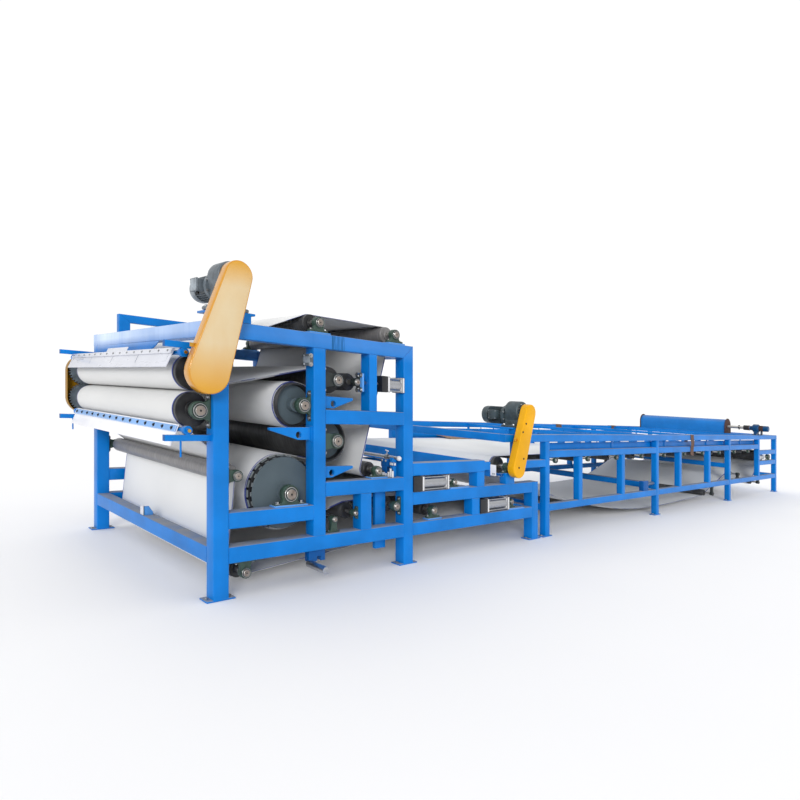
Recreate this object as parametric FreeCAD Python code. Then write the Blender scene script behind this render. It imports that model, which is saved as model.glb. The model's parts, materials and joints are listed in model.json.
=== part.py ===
import FreeCAD, Part
import math
import os

# Belt filter press: a roller press at the front and a long gravity table behind it.
# Millimetres. X runs along the machine towards the feed end, Y from the near side frame
# to the far one, Z up. The origin is under the centre of the near front foot.

# Overall frame
FRAME_WIDTH = 3260.0
FRAME_TOP = 2370.0
TUBE = 140.0
SLIM_POST = 100.0
TABLE_TUBE = 100.0
SOLE_T = 12.0
SOLE_OVERHANG = 60.0
SOLE_BOLT_R = 9.0
SOLE_BOLT_INSET = 30.0

# Post centres of the press along X
POST_2_X = 1005.0
STUB_POST_X = 1580.0
PUSH_POST_X = 1670.0
POST_3_X = 2170.0
UNDER_POST_X = 3300.0
BOX_POST_X = 3390.0
POST_4_X = 4520.0

# Rail centres of the press above the floor
LOW_RAIL_Z = 370.0
DRUM_RAIL_Z = 665.0
LONG_RAIL_Z = 705.0
MID_RAIL_Z = 875.0
BOX_RAIL_Z = 1022.0
UPPER_RAIL_Z = 1575.0

# Gravity table
TABLE_START_X = 3870.0
LEG_XS = [4820.0, 8220.0, 11700.0, 14840.0]
STRUT_XS = [5680.0, 6980.0, 9180.0, 10580.0, 13580.0]
TABLE_TOP_Z = 1360.0
TABLE_MID_Z = 1140.0
TABLE_LOW_Z = 400.0
TAIL_UPPER_Z = 1000.0
TAIL_LOWER_Z = 750.0
SHORT_RAIL_X = 4090.0
SHORT_RAIL_Z = 1015.0
TABLE_TIES = [(8220.0, 500.0), (11700.0, 750.0)]
FEED_TIE_XS = [13460.0, 13700.0]

# Belts
BELT_T = 6.0
BELT_WIDTH = 2780.0
BELT_GAP = 0.5
ROLLER_GAP = 0.5
BARREL_OVERHANG = 45.0
SAG_RADIUS = 13300.0
SAG_LOW_Z = 80.0
SAG_CLEAR = 65.5

# Bearings and shafts
SHAFT_PLAY = 0.08
BEARING_T = 70.0
SHAFT_END = 48.0
HOUSING_RATIO = 1.75
SEAT_RATIO = 1.9
FOOT_RATIO = 0.42
WEB_SHARE = 0.6
FOOT_EXTRA, HOUSING_GAP = 8.0, 2.0
SHIM_T = 16.0
SHIM_MARGIN = 12.0

# Roller ends
BOSS_RATIO, BOSS_L = 1.5, 18.0
BARREL_EDGE, RIM_T, RIM_RECESS = 5.0, 14.0, 60.0

# Roller sizes: barrel radius, shaft radius
PRESS_R, PRESS_SHAFT = 147.0, 45.0
DRUM_R, DRUM_SHAFT = 350.0, 50.0
SECOND_R, SECOND_SHAFT = 215.0, 44.0
TURN_R, TURN_SHAFT = 130.0, 40.0
TOP_R, TOP_SHAFT = 90.0, 32.0
GUIDE_R, GUIDE_SHAFT = 80.0, 30.0
SMALL_SHAFT = 19.0
SUPPORT_R, SUPPORT_SHAFT = 45.0, 20.0
TENSION_R, TENSION_SHAFT = 90.0, 24.0
TABLE_DRIVE_R, TABLE_DRIVE_SHAFT = 120.0, 34.0
IDLER_R, IDLER_SHAFT = 65.0, 15.0
RETURN_R = 60.0

# Roller places: how far each axis stands off the face that carries its bearings,
# and where along that face
NIP_STANDOFF = 100.0
UPPER_NIP_Z = 1915.0
LOWER_NIP_Z = 1598.0
DRUM_STANDOFF, DRUM_X = 112.0, 707.0
SECOND_STANDOFF, SECOND_Z = 80.0, 1674.0
THIRD_STANDOFF, THIRD_Z = 167.0, 1336.0
TURN_STANDOFF, TURN_Z = 175.0, 1939.0
FRONT_TOP_STANDOFF, FRONT_TOP_X = 110.0, 1030.0
REAR_TOP_STANDOFF, REAR_TOP_X = 105.0, 2020.0
WASH_GUIDE_STANDOFF, WASH_GUIDE_Z = 100.0, 1040.0
RISER_STANDOFF, RISER_X = 75.0, 1775.0
SMALL_STANDOFF, SMALL_Z = 41.0, 606.0
PARTING_STANDOFF, PARTING_Z = 70.0, 631.0
LOW_RETURN_STANDOFF, LOW_RETURN_X = 98.0, 2610.0
BOTTOM_STANDOFF, BOTTOM_X = 110.0, 250.0
SUPPORT_X = 1194.0
TABLE_DRIVE_X, TABLE_DRIVE_Z = 3970.0, 985.0
PEDESTAL_DROP, PEDESTAL_EXTRA = 10.0, 40.0
TAIL_STANDOFF, TAIL_X = 80.0, 14360.0
IDLER_STANDOFF, IDLER_X, IDLER_COUNT = 45.0, 5080.0, 10
IDLER_TAIL_GAP = 557.0
HANGER_RATIO, HANGER_T = 1.8, 40.0
RETURN_PLACES = [(10810.0, "below", 150.0), (12300.0, "above", 91.0), (13630.0, "below", 60.0)]

# Drum shell
DRUM_SLATS = 24
SLAT_T = 12.0
SLAT_SHARE, SLAT_REACH = 0.72, 0.8
DRUM_DISC_R = 300.0
DRUM_END_T = 30.0

# Plates and frames that the side frames carry
RAISED_X0, RAISED_X1 = 190.0, 1400.0
RAISED_POST_W, RAISED_RAIL_H = 135.0, 100.0
RAISED_TOP_Z = 2661.0
FRONT_PLATE_T, FRONT_PLATE_H = 10.0, 85.0
FRONT_PLATE_Y, FRONT_PLATE_CURVE = 1120.0, 330.0
CURVE_ALONG, CURVE_DOWN = 0.4, 0.75
TRAY_T, TRAY_TOP_Z, TRAY_H = 12.0, 1066.0, 186.0
TRAY_ARM_L, TRAY_ARM_H, TRAY_ARM_W = 140.0, 100.0, 70.0
PLOUGH_XS = [6800.0, 8750.0, 10700.0, 12640.0]
PLOUGH_BAR = 50.0
PLOUGH_COUNT = 9
PLOUGH_WING = (50.0, 70.0, 12.0)
PLOUGH_H, PLOUGH_CLEAR = 110.0, 12.0
PLOUGH_STEM_R = 8.0
PLOUGH_TAB = (60.0, 12.0, 195.0)

# Pan brackets on the second post: hub centre, tip and the depth of the tip
PAN_BRACKETS = [(-1, (799.0, 1397.0), (490.0, 1463.0)), (1, (1200.0, 1704.0), (1442.0, 1768.0)),
                (1, (1181.0, 1026.0), (1442.0, 1086.0))]
PAN_T, PAN_TIP_H, PAN_HUB_R, PAN_BORE_R = 40.0, 24.0, 46.0, 32.0
PAN_FOOT_T, PAN_FOOT_W = 12.0, 100.0

# Wash pipe on the middle rails
PIPE_X, PIPE_Z, PIPE_R, PIPE_BALL_R = 2030.0, 1150.0, 18.0, 27.0
PIPE_STAND_W, PIPE_STAND_Y = 50.0, 25.0

# Belt tracking units, the drain chute and the tail cylinders
TRACKER_X0, TRACKER_X1, TRACKER_H = 905.0, 1090.0, 110.0
TRACKER_CYL = (918.0, 172.0, 35.0)
TRACKER_CYL_Y = (-290.0, -10.0)
TRACKER_NOTCH = 45.0
TABLE_TRACKER_X, TABLE_TRACKER_L, TABLE_TRACKER_H = 7700.0, 180.0, 170.0
TABLE_TRACKER_CYL_R, TABLE_TRACKER_REACH = 30.0, 250.0
TABLE_TRACKER_W, TABLE_TRACKER_RISE = 80.0, 0.65
CHUTE_X, CHUTE_W, CHUTE_DEPTH, CHUTE_WALL = 1885.0, 140.0, 45.0, 5.0
CHUTE_LOW_Z = 182.0
TAIL_CYL_R, TAIL_CYL_CAP, TAIL_CYL_CAP_T, TAIL_CYL_L = 48.0, 106.0, 30.0, 330.0

# Pneumatic cylinders and the slides that they push
CYL_R = 76.0
CYL_CAP = 170.0
CYL_CAP_T = 45.0
PRESS_CYL_LENGTH = 320.0
TENSION_CYL_LENGTH = 570.0
ROD_R = 16.0
ROD_IN_CYL = 130.0
CYL_DEPTH = 230.0
ROD_PORT_R = 19.0
ROD_SEAT_SHARE = 0.7
SLIDE_GAP = 0.3
PRESS_SLIDE_X = 1490.0
PRESS_SLIDE_Z = 1934.0
PRESS_PLATE_T = 30.0
PRESS_PLATE_H = 190.0
PRESS_PLATE_W = 100.0
PRESS_STANDOFF = 46.0
UPPER_TENSION_X, UPPER_TENSION_Z = 2956.0, 843.0
LOWER_TENSION_X, LOWER_TENSION_Z = 4058.0, 532.0
UPPER_CYL_Z = 863.0
TRACK_T = 14.0
TRACK_L = 330.0
TRACK_W = 130.0
TRACK_LEAD = 105.0

# Drives
GUARD_T = 100.0
GUARD_WALL = 4.0
GUARD_STANDOFF = 50.0
PRESS_GUARD_R = (177.0, 125.0)
PRESS_MOTOR_AT = (88.0, 2745.0)
TABLE_GUARD_R = (120.0, 104.0)
TABLE_MOTOR_AT = (4220.0, 1710.0)
GUARD_HOLE_PLAY = 8.0
STAND_H = 70.0
STAND_PLATE_T = 20.0
STAND_HALF, STAND_PLATE_HALF, STAND_PLATE_L = 150.0, 190.0, 340.0
STAND_SHIFT = 40.0
GUARD_EDGE = 12.0
GUARD_BRACKET = 60.0
MOTOR_SHAFT_R = 28.0
GEARCASE_R, GEARCASE_L, GEARCASE_NECK_R = 135.0, 250.0, 100.0
GEARCASE_FOOT_T, GEARCASE_FOOT_OUT = 25.0, 35.0
SEAL_BOSS_R, SEAL_BOSS_T = 75.0, 18.0
FLANGE_T, FLANGE_LIP = 30.0, 8.0
MOTOR_OFFSET = 30.0
MOTOR_R, MOTOR_L, COWL_L = 104.0, 230.0, 110.0
MOTOR_FINS, FIN_DEPTH, FIN_SHARES = 20, 11.0, (0.12, 0.16)
COWL_STEP, COWL_FACE, TERMINAL_SEAT = 2.0, 0.8, 6.0
TERMINAL_REACH, TERMINAL_LOW, TERMINAL_HIGH = 168.0, -48.0, 78.0
TERMINAL_LENGTH, TERMINAL_AT = 124.0, 28.0

# Synchronising gears at the far end of the two nip rollers
GEAR_TEETH = 30
GEAR_T = 60.0
GEAR_OFFSET = 25.0
GEAR_BACKLASH = 1.2
ADDENDUM, DEDENDUM, ROOT_SHARE, TIP_SHARE = 0.8, 1.1, 0.36, 0.13
GEAR_SHAFT_OUT = 5.0
GEAR_GUARD_R = 190.0
GEAR_GUARD_T = 85.0
GEAR_GUARD_SHEET = 5.0
GEAR_GUARD_BACK, GEAR_ARM_X, GEAR_ARM_H = 10.0, 15.0, 80.0

# Scrapers
BLADE_T = 8.0
BLADE_MARGIN = 20.0
SCRAPER_SHAFT_R = 20.0
SCRAPER_HUB_R = 38.0
ARM_TUBE = 50.0
UPPER_ARM_Z, UPPER_ARM_REACH = 2130.0, 390.0
LOWER_ARM_Z, LOWER_ARM_REACH = 1370.0, 390.0
UPPER_PIVOT = (-300.0, 2070.0)
UPPER_BLADE = [(-405.0, 1945.0), (-330.0, 2106.0)]
LOWER_PIVOT = (-270.0, 1431.0)
LOWER_BLADE = [(-288.0, 1470.0), (-360.0, 1292.0)]
SCRAPER_LUGS, LUG_T, LUG_INSET, LUG_SHARES = 5, 16.0, 60.0, (0.25, 0.75)
CLAMP_T = 12.0
UPPER_CLAMP, LOWER_CLAMP = (0.70, 0.98), (0.06, 0.36)
HANDLE_X, HANDLE_R, HANDLE_L = -321.0, 8.0, 132.0

# Feed box and its drive
FEED_X, FEED_R, FEED_Y0, FEED_LENGTH = 13580.0, 170.0, 630.0, 2100.0
FEED_WALL = 6.0
FEED_FLANGE_T = 14.0
FEED_SHAFT_R = 32.0
FEED_SHAFT_Z = 1570.0
FEED_FLANGE_LIP = 25.0
FEED_ROTOR_GAP, FEED_ROTOR_END = 60.0, 40.0
FEED_CASE_HALF, FEED_CASE_CHAMFER, FEED_CASE_LEDGE = 95.0, 35.0, 40.0
FEED_COUPLING_AT, FEED_COUPLING_L, FEED_COUPLING_LIP = 60.0, 130.0, 26.0
FEED_MOTOR = [(70.0, 30.0), (62.0, 120.0), (66.0, 50.0)]

near_y = 0.0
far_y = FRAME_WIDTH - TUBE
half = TUBE / 2
outer_near = -half
outer_far = far_y + half
belt_near = (far_y - BELT_WIDTH) / 2
belt_far = belt_near + BELT_WIDTH
barrel_near = belt_near - BARREL_OVERHANG
barrel_far = belt_far + BARREL_OVERHANG
top_rail_z = FRAME_TOP - half
side_ys = [near_y, far_y]
table_half = TABLE_TUBE / 2
table_ys = [outer_near + table_half, outer_far - table_half]


def save(name, *solids):
    """Write one sub-part: all its solids in one STEP file."""
    shape = solids[0] if len(solids) == 1 else Part.makeCompound(list(solids))
    shape.exportStep(os.path.join("parts", name + ".step"))


def box(x0, x1, y0, y1, z0, z1):
    return Part.makeBox(x1 - x0, y1 - y0, z1 - z0, FreeCAD.Vector(x0, y0, z0))


def bar(x, y, z0, z1, size_x, size_y):
    """An upright bar about the centre x, y."""
    return box(x - size_x / 2, x + size_x / 2, y - size_y / 2, y + size_y / 2, z0, z1)


def rail(x0, x1, y, z, size_y, size_z):
    """A level bar along X about the centre y, z."""
    return box(x0, x1, y - size_y / 2, y + size_y / 2, z - size_z / 2, z + size_z / 2)


def round_y(x, z, radius, y0, y1):
    return Part.makeCylinder(radius, y1 - y0, FreeCAD.Vector(x, y0, z), FreeCAD.Vector(0, 1, 0))


def round_x(y, z, radius, x0, x1):
    return Part.makeCylinder(radius, x1 - x0, FreeCAD.Vector(x0, y, z), FreeCAD.Vector(1, 0, 0))


def prism_y(points, y0, y1):
    """A straight-sided outline of (x, z) points, as thick as y0 to y1."""
    corners = [FreeCAD.Vector(x, y0, z) for x, z in points]
    face = Part.Face(Part.makePolygon(corners + corners[:1]))
    return face.extrude(FreeCAD.Vector(0, y1 - y0, 0))


def prism_z(points, z0, z1):
    """A straight-sided outline of (x, y) points, as high as z0 to z1."""
    corners = [FreeCAD.Vector(x, y, z0) for x, y in points]
    face = Part.Face(Part.makePolygon(corners + corners[:1]))
    return face.extrude(FreeCAD.Vector(0, 0, z1 - z0))


def turned_y(x, z, outline):
    """A solid of revolution about the level axis at x, z from (radius, y) points."""
    corners = [FreeCAD.Vector(x + r, y, z) for r, y in outline]
    face = Part.Face(Part.makePolygon(corners + corners[:1]))
    return face.revolve(FreeCAD.Vector(x, 0, z), FreeCAD.Vector(0, 1, 0), 360)


def fuse(solids):
    whole = solids[0].fuse(solids[1:]) if len(solids) > 1 else solids[0]
    whole = whole.removeSplitter()
    return whole.Solids[0] if len(whole.Solids) == 1 else whole


def polar(centre, radius, angle):
    return (centre[0] + radius * math.cos(angle), centre[1] + radius * math.sin(angle))


def vec(point, y):
    return FreeCAD.Vector(point[0], y, point[1])


# Bearings
FACE_TURN = {"down": 0.0, "left": 90.0, "up": 180.0, "right": -90.0}


def housing_radius(shaft_r, standoff):
    return min(shaft_r * HOUSING_RATIO, standoff - HOUSING_GAP)


def bearing(x, z, towards, standoff, shaft_r, y, thick=BEARING_T):
    """A plummer block whose seat lies the standoff away from the shaft, in one of four directions."""
    ring = housing_radius(shaft_r, standoff)
    foot_t = min(ring * FOOT_RATIO, (standoff - ring) / 2 + FOOT_EXTRA)
    foot = ring * SEAT_RATIO
    y0, y1 = y - thick / 2, y + thick / 2
    web = thick * WEB_SHARE / 2
    block = fuse([
        box(x - foot, x + foot, y0, y1, z - standoff, z - standoff + foot_t),
        box(x - ring, x + ring, y - web, y + web, z - standoff, z),
        round_y(x, z, ring, y0, y1),
    ])
    block = block.cut(round_y(x, z, shaft_r + SHAFT_PLAY, y0 - 1, y1 + 1))
    block.rotate(FreeCAD.Vector(x, y, z), FreeCAD.Vector(0, 1, 0), FACE_TURN[towards])
    return block


# Rollers
def roller(x, z, radius, shaft_r, y0=None, y1=None, recess=0.0):
    """A barrel on a through shaft, turned as one outline, its ends plain or recessed."""
    y0 = near_y - SHAFT_END if y0 is None else y0
    y1 = far_y + SHAFT_END if y1 is None else y1
    boss = shaft_r * BOSS_RATIO
    edge = BARREL_EDGE
    inside = radius - RIM_T
    near = [(0, y0), (shaft_r, y0), (shaft_r, barrel_near - BOSS_L), (boss, barrel_near - BOSS_L)]
    far = [(boss, barrel_far + BOSS_L), (shaft_r, barrel_far + BOSS_L), (shaft_r, y1), (0, y1)]
    if recess:
        near += [(boss, barrel_near + recess), (inside, barrel_near + recess), (inside, barrel_near)]
        far = [(inside, barrel_far), (inside, barrel_far - recess), (boss, barrel_far - recess)] + far
    else:
        near += [(boss, barrel_near)]
        far = [(boss, barrel_far)] + far
    middle = [(radius - edge, barrel_near), (radius, barrel_near + edge)]
    middle += [(radius, barrel_far - edge), (radius - edge, barrel_far)]
    return turned_y(x, z, near + middle + far)


def sector(centre, r0, r1, a0, a1, y):
    """The wire of a ring's sector."""
    mid = (a0 + a1) / 2

    def at(radius, angle):
        return vec(polar(centre, radius, angle), y)
    outer = Part.Arc(at(r1, a0), at(r1, mid), at(r1, a1))
    inner = Part.Arc(at(r0, a1), at(r0, mid), at(r0, a0))
    side_1 = Part.LineSegment(at(r1, a1), at(r0, a1))
    side_0 = Part.LineSegment(at(r0, a0), at(r1, a0))
    return Part.Wire([side.toShape() for side in (outer, side_1, inner, side_0)])


def slatted_drum(x, z):
    """The dewatering drum: slats between two spoked end rings, with a disc in each and a through shaft."""
    centre = (x, z)
    pitch = 2 * math.pi / DRUM_SLATS
    slat_half = pitch * SLAT_SHARE / 2
    ring_in = DRUM_R - SLAT_T
    pieces = [round_y(x, z, DRUM_SHAFT, near_y - SHAFT_END, far_y + SHAFT_END)]
    for y in (barrel_near, barrel_far - DRUM_END_T):
        rim = Part.Wire(Part.makeCircle(DRUM_R, vec(centre, y), FreeCAD.Vector(0, 1, 0)))
        windows = []
        for k in range(DRUM_SLATS):
            a = (k + 0.5) * pitch
            reach = slat_half * SLAT_REACH
            windows.append(sector(centre, DRUM_DISC_R, ring_in, a - reach, a + reach, y))
        plate = Part.Face(rim).extrude(FreeCAD.Vector(0, DRUM_END_T, 0))
        cutters = [Part.Face(w).extrude(FreeCAD.Vector(0, DRUM_END_T, 0)) for w in windows]
        pieces.append(plate.cut(cutters))
    for k in range(DRUM_SLATS):
        a = k * pitch
        wire = sector(centre, ring_in, DRUM_R, a - slat_half, a + slat_half, barrel_near + DRUM_END_T)
        length = barrel_far - barrel_near - 2 * DRUM_END_T
        pieces.append(Part.Face(wire).extrude(FreeCAD.Vector(0, length, 0)))
    return fuse(pieces)


# Where every roller's axis is, worked out from the face that carries its bearings
low_top = LOW_RAIL_Z + half
post_1_front = -half
post_1_back = half
nip_x = post_1_front - NIP_STANDOFF
UPPER_NIP = (nip_x, UPPER_NIP_Z)
LOWER_NIP = (nip_x, LOWER_NIP_Z)
DRUM = (DRUM_X, DRUM_RAIL_Z + half + DRUM_STANDOFF)
SECOND = (POST_2_X - half - SECOND_STANDOFF, SECOND_Z)
THIRD = (POST_2_X + half + THIRD_STANDOFF, THIRD_Z)
TURN = (POST_2_X + half + TURN_STANDOFF, TURN_Z)
FRONT_TOP = (FRONT_TOP_X, FRAME_TOP + FRONT_TOP_STANDOFF)
REAR_TOP = (REAR_TOP_X, FRAME_TOP + REAR_TOP_STANDOFF)
WASH_GUIDE = (post_1_back + WASH_GUIDE_STANDOFF, WASH_GUIDE_Z)
RISER = (RISER_X, MID_RAIL_Z + half + RISER_STANDOFF)
SMALL = (STUB_POST_X - half - SMALL_STANDOFF, SMALL_Z)
PARTING = (POST_3_X - half - PARTING_STANDOFF, PARTING_Z)
LOW_RETURN = (LOW_RETURN_X, low_top + LOW_RETURN_STANDOFF)
BOTTOM = (BOTTOM_X, LOW_RAIL_Z - half - BOTTOM_STANDOFF)
PRESS_SLIDE = (PRESS_SLIDE_X, PRESS_SLIDE_Z)
UPPER_TENSION = (UPPER_TENSION_X, UPPER_TENSION_Z)
LOWER_TENSION = (LOWER_TENSION_X, LOWER_TENSION_Z)
TABLE_DRIVE = (TABLE_DRIVE_X, TABLE_DRIVE_Z)
TAIL = (TAIL_X, TAIL_LOWER_Z + table_half + TAIL_STANDOFF)
idler_z = TABLE_MID_Z - table_half - IDLER_STANDOFF
idler_pitch = (STRUT_XS[-1] - table_half - IDLER_TAIL_GAP - IDLER_X) / (IDLER_COUNT - 1)
IDLERS = [(IDLER_X + k * idler_pitch, idler_z) for k in range(IDLER_COUNT)]


def return_place(x, side, standoff):
    """A return roller's axis, below the low rail or above it."""
    if side == "below":
        return (x, TABLE_LOW_Z - table_half - standoff)
    return (x, TABLE_LOW_Z + table_half + standoff)


RETURNS = [return_place(*place) for place in RETURN_PLACES]


# Belts
def belt_radius(radius, turn, layer=0):
    """Signed radius of a belt's middle line: plus where the roller is inside the loop."""
    return turn * (radius + ROLLER_GAP + BELT_T / 2 + layer * (BELT_T + BELT_GAP))


def headings(stops):
    """The belt's heading along the straight run after each stop."""
    result = []
    for k, (centre, r0) in enumerate(stops):
        other, r1 = stops[(k + 1) % len(stops)]
        dx, dz = other[0] - centre[0], other[1] - centre[1]
        result.append(math.atan2(dz, dx) - math.asin((r1 - r0) / math.hypot(dx, dz)))
    return result


def touch(centre, radius, heading):
    return (centre[0] + radius * math.sin(heading), centre[1] - radius * math.cos(heading))


def loop_wire(stops, shift, y):
    """The closed line of a belt round its stops, moved sideways by shift."""
    angles = headings(stops)
    edges = []
    ends = []
    for k, (centre, radius) in enumerate(stops):
        before, after = angles[k - 1], angles[k]
        turn = (after - before) % (2 * math.pi)
        if radius < 0:
            turn -= 2 * math.pi
        r = radius + shift
        points = [vec(touch(centre, r, before + turn * f), y) for f in (0.0, 0.5, 1.0)]
        edges.append(Part.Arc(*points).toShape())
        ends.append((points[0], points[2]))
    for k in range(len(stops)):
        edges.append(Part.LineSegment(ends[k - 1][1], ends[k][0]).toShape())
    return Part.Wire(Part.__sortEdges__(edges))


def belt(stops):
    """One endless belt as a closed band of even thickness."""
    outline = loop_wire(stops, BELT_T / 2, belt_near)
    inside = loop_wire(stops, -BELT_T / 2, belt_near)
    band = Part.makeFace([outline, inside], "Part::FaceMakerBullseye")
    return band.extrude(FreeCAD.Vector(0, BELT_WIDTH, 0))


upper_stops = [
    (REAR_TOP, belt_radius(TOP_R, 1)),
    (FRONT_TOP, belt_radius(TOP_R, 1)),
    (UPPER_NIP, belt_radius(PRESS_R, 1)),
    (TURN, belt_radius(TURN_R, -1, 1)),
    (SECOND, belt_radius(SECOND_R, 1)),
    (THIRD, belt_radius(SECOND_R, -1, 1)),
    (DRUM, belt_radius(DRUM_R, 1)),
    (SMALL, belt_radius(GUIDE_R, -1, 1)),
    (PARTING, belt_radius(GUIDE_R, -1, 1)),
    (UPPER_TENSION, belt_radius(TENSION_R, 1)),
    (RISER, belt_radius(GUIDE_R, -1)),
]
lower_stops = [
    (LOWER_TENSION, belt_radius(TENSION_R, 1)),
    (PARTING, belt_radius(GUIDE_R, 1)),
    (SMALL, belt_radius(GUIDE_R, 1)),
    (DRUM, belt_radius(DRUM_R, -1, 1)),
    (THIRD, belt_radius(SECOND_R, 1)),
    (SECOND, belt_radius(SECOND_R, -1, 1)),
    (TURN, belt_radius(TURN_R, 1)),
    (LOWER_NIP, belt_radius(PRESS_R, 1)),
    (WASH_GUIDE, belt_radius(GUIDE_R, -1)),
    (BOTTOM, belt_radius(GUIDE_R, 1)),
]

# The gravity belt's free run hangs in a wide arc that just clears the drive roller's axis
sag_rise = SAG_LOW_Z + SAG_RADIUS - TABLE_DRIVE_Z
sag_reach = SAG_RADIUS - belt_radius(TABLE_DRIVE_R, 1) + SAG_CLEAR
sag_x = TABLE_DRIVE_X + math.sqrt(sag_reach ** 2 - sag_rise ** 2)
gravity_stops = [
    (TAIL, belt_radius(TABLE_DRIVE_R, 1)),
    (IDLERS[-1], belt_radius(IDLER_R, 1)),
    (IDLERS[0], belt_radius(IDLER_R, 1)),
    (TABLE_DRIVE, belt_radius(TABLE_DRIVE_R, 1)),
    ((sag_x, SAG_LOW_Z + SAG_RADIUS), SAG_RADIUS),
    (RETURNS[0], belt_radius(RETURN_R, 1)),
    (RETURNS[1], belt_radius(RETURN_R, -1)),
    (RETURNS[2], belt_radius(RETURN_R, 1)),
]


def support_place():
    """The small support roller, just under the lower belt between the drum and the small roller."""
    heading = headings(lower_stops)[2]
    start = touch(SMALL, belt_radius(GUIDE_R, 1), heading)
    reach = (SUPPORT_X - start[0]) / math.cos(heading)
    under = SUPPORT_R + ROLLER_GAP + BELT_T / 2
    z_line = start[1] + reach * math.sin(heading)
    return (SUPPORT_X - under * math.sin(heading), z_line + under * math.cos(heading))


SUPPORT = support_place()


# Frame of the press
def upright(x, y, z0, z1):
    return bar(x, y, z0, z1, TUBE, TUBE)


def press_posts(y):
    """The posts of one side frame; the push post has a port for the cylinder's rod."""
    low = LOW_RAIL_Z + half
    post_3 = prism_y([
        (POST_3_X - half, SOLE_T), (POST_3_X + half, SOLE_T),
        (POST_3_X + half, FRAME_TOP), (POST_3_X - half, FRAME_TOP - TUBE),
    ], y - half, y + half)
    push_post = bar(PUSH_POST_X, y, UPPER_RAIL_Z + half, FRAME_TOP - TUBE, SLIM_POST, TUBE)
    port = round_x(y, PRESS_SLIDE_Z, ROD_PORT_R, PUSH_POST_X - SLIM_POST, PUSH_POST_X + SLIM_POST)
    return [
        upright(0.0, y, SOLE_T, FRAME_TOP - TUBE),
        upright(POST_2_X, y, low, FRAME_TOP - TUBE),
        upright(STUB_POST_X, y, low, MID_RAIL_Z - half),
        push_post.cut(port),
        post_3,
        upright(UNDER_POST_X, y, low, LONG_RAIL_Z - half),
        upright(BOX_POST_X, y, LONG_RAIL_Z + half, BOX_RAIL_Z - half),
        upright(POST_4_X, y, SOLE_T, LONG_RAIL_Z + half),
    ]


def press_rails(y):
    """The rails of one side frame, each between the posts that carry it."""
    top = prism_y([
        (-half, FRAME_TOP - TUBE), (POST_3_X - half, FRAME_TOP - TUBE),
        (POST_3_X + half, FRAME_TOP), (-half, FRAME_TOP),
    ], y - half, y + half)

    def span(x0, x1, z):
        return rail(x0 + half, x1 - half, y, z, TUBE, TUBE)
    return [
        span(0.0, POST_3_X, LOW_RAIL_Z),
        span(POST_3_X, POST_4_X, LOW_RAIL_Z),
        span(0.0, POST_2_X, DRUM_RAIL_Z),
        span(POST_2_X, POST_3_X, MID_RAIL_Z),
        span(POST_2_X, POST_3_X, UPPER_RAIL_Z),
        span(POST_3_X, POST_4_X, LONG_RAIL_Z),
        rail(POST_3_X + half, BOX_POST_X + half, y, BOX_RAIL_Z, TUBE, TUBE),
        top,
    ]


def cross_tube(x, z):
    return box(x - half, x + half, near_y + half, far_y - half, z - half, z + half)


def raised_frame(y):
    """The mitred frame over the far top rail: two posts and the rail that joins them."""
    low, high = FRAME_TOP, RAISED_TOP_Z
    under = high - RAISED_RAIL_H
    y0, y1 = y - table_half, y + table_half
    inner_0, inner_1 = RAISED_X0 + RAISED_POST_W, RAISED_X1 - RAISED_POST_W
    posts = [
        prism_y([(RAISED_X0, low), (inner_0, low), (inner_0, under), (RAISED_X0, high)], y0, y1),
        prism_y([(inner_1, low), (RAISED_X1, low), (RAISED_X1, high), (inner_1, under)], y0, y1),
    ]
    joint = prism_y([(RAISED_X0, high), (inner_0, under), (inner_1, under), (RAISED_X1, high)], y0, y1)
    return posts, joint


def front_plate():
    """The plate under the front top tube, from the far post to a hollow-curved end."""
    x = post_1_front
    top, bottom = FRAME_TOP - TUBE, FRAME_TOP - TUBE - FRONT_PLATE_H
    y_top, y_low, y_far = FRONT_PLATE_Y, FRONT_PLATE_Y + FRONT_PLATE_CURVE, far_y - half
    tip, foot = FreeCAD.Vector(x, y_top, top), FreeCAD.Vector(x, y_low, bottom)
    middle = FreeCAD.Vector(x, y_top + FRONT_PLATE_CURVE * CURVE_ALONG, top - FRONT_PLATE_H * CURVE_DOWN)
    ends = [FreeCAD.Vector(x, y_far, bottom), FreeCAD.Vector(x, y_far, top)]
    sides = [Part.Arc(tip, middle, foot), Part.LineSegment(foot, ends[0]),
             Part.LineSegment(*ends), Part.LineSegment(ends[1], tip)]
    wire = Part.Wire([side.toShape() for side in sides])
    return Part.Face(wire).extrude(FreeCAD.Vector(FRONT_PLATE_T, 0, 0))


def table_tray():
    """The sheet in front of the table's drive roller, on an arm from each box rail's end."""
    z0 = TRAY_TOP_Z - TRAY_H
    arm_half = TRAY_ARM_W / 2
    arm_x = BOX_POST_X + half
    sheet_x = arm_x + TRAY_ARM_L
    pieces = [box(sheet_x, sheet_x + TRAY_T, near_y - arm_half, far_y + arm_half, z0, TRAY_TOP_Z)]
    for y in side_ys:
        pieces.append(box(arm_x, sheet_x, y - arm_half, y + arm_half, TRAY_TOP_Z - TRAY_ARM_H, TRAY_TOP_Z))
    return fuse(pieces)


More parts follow.
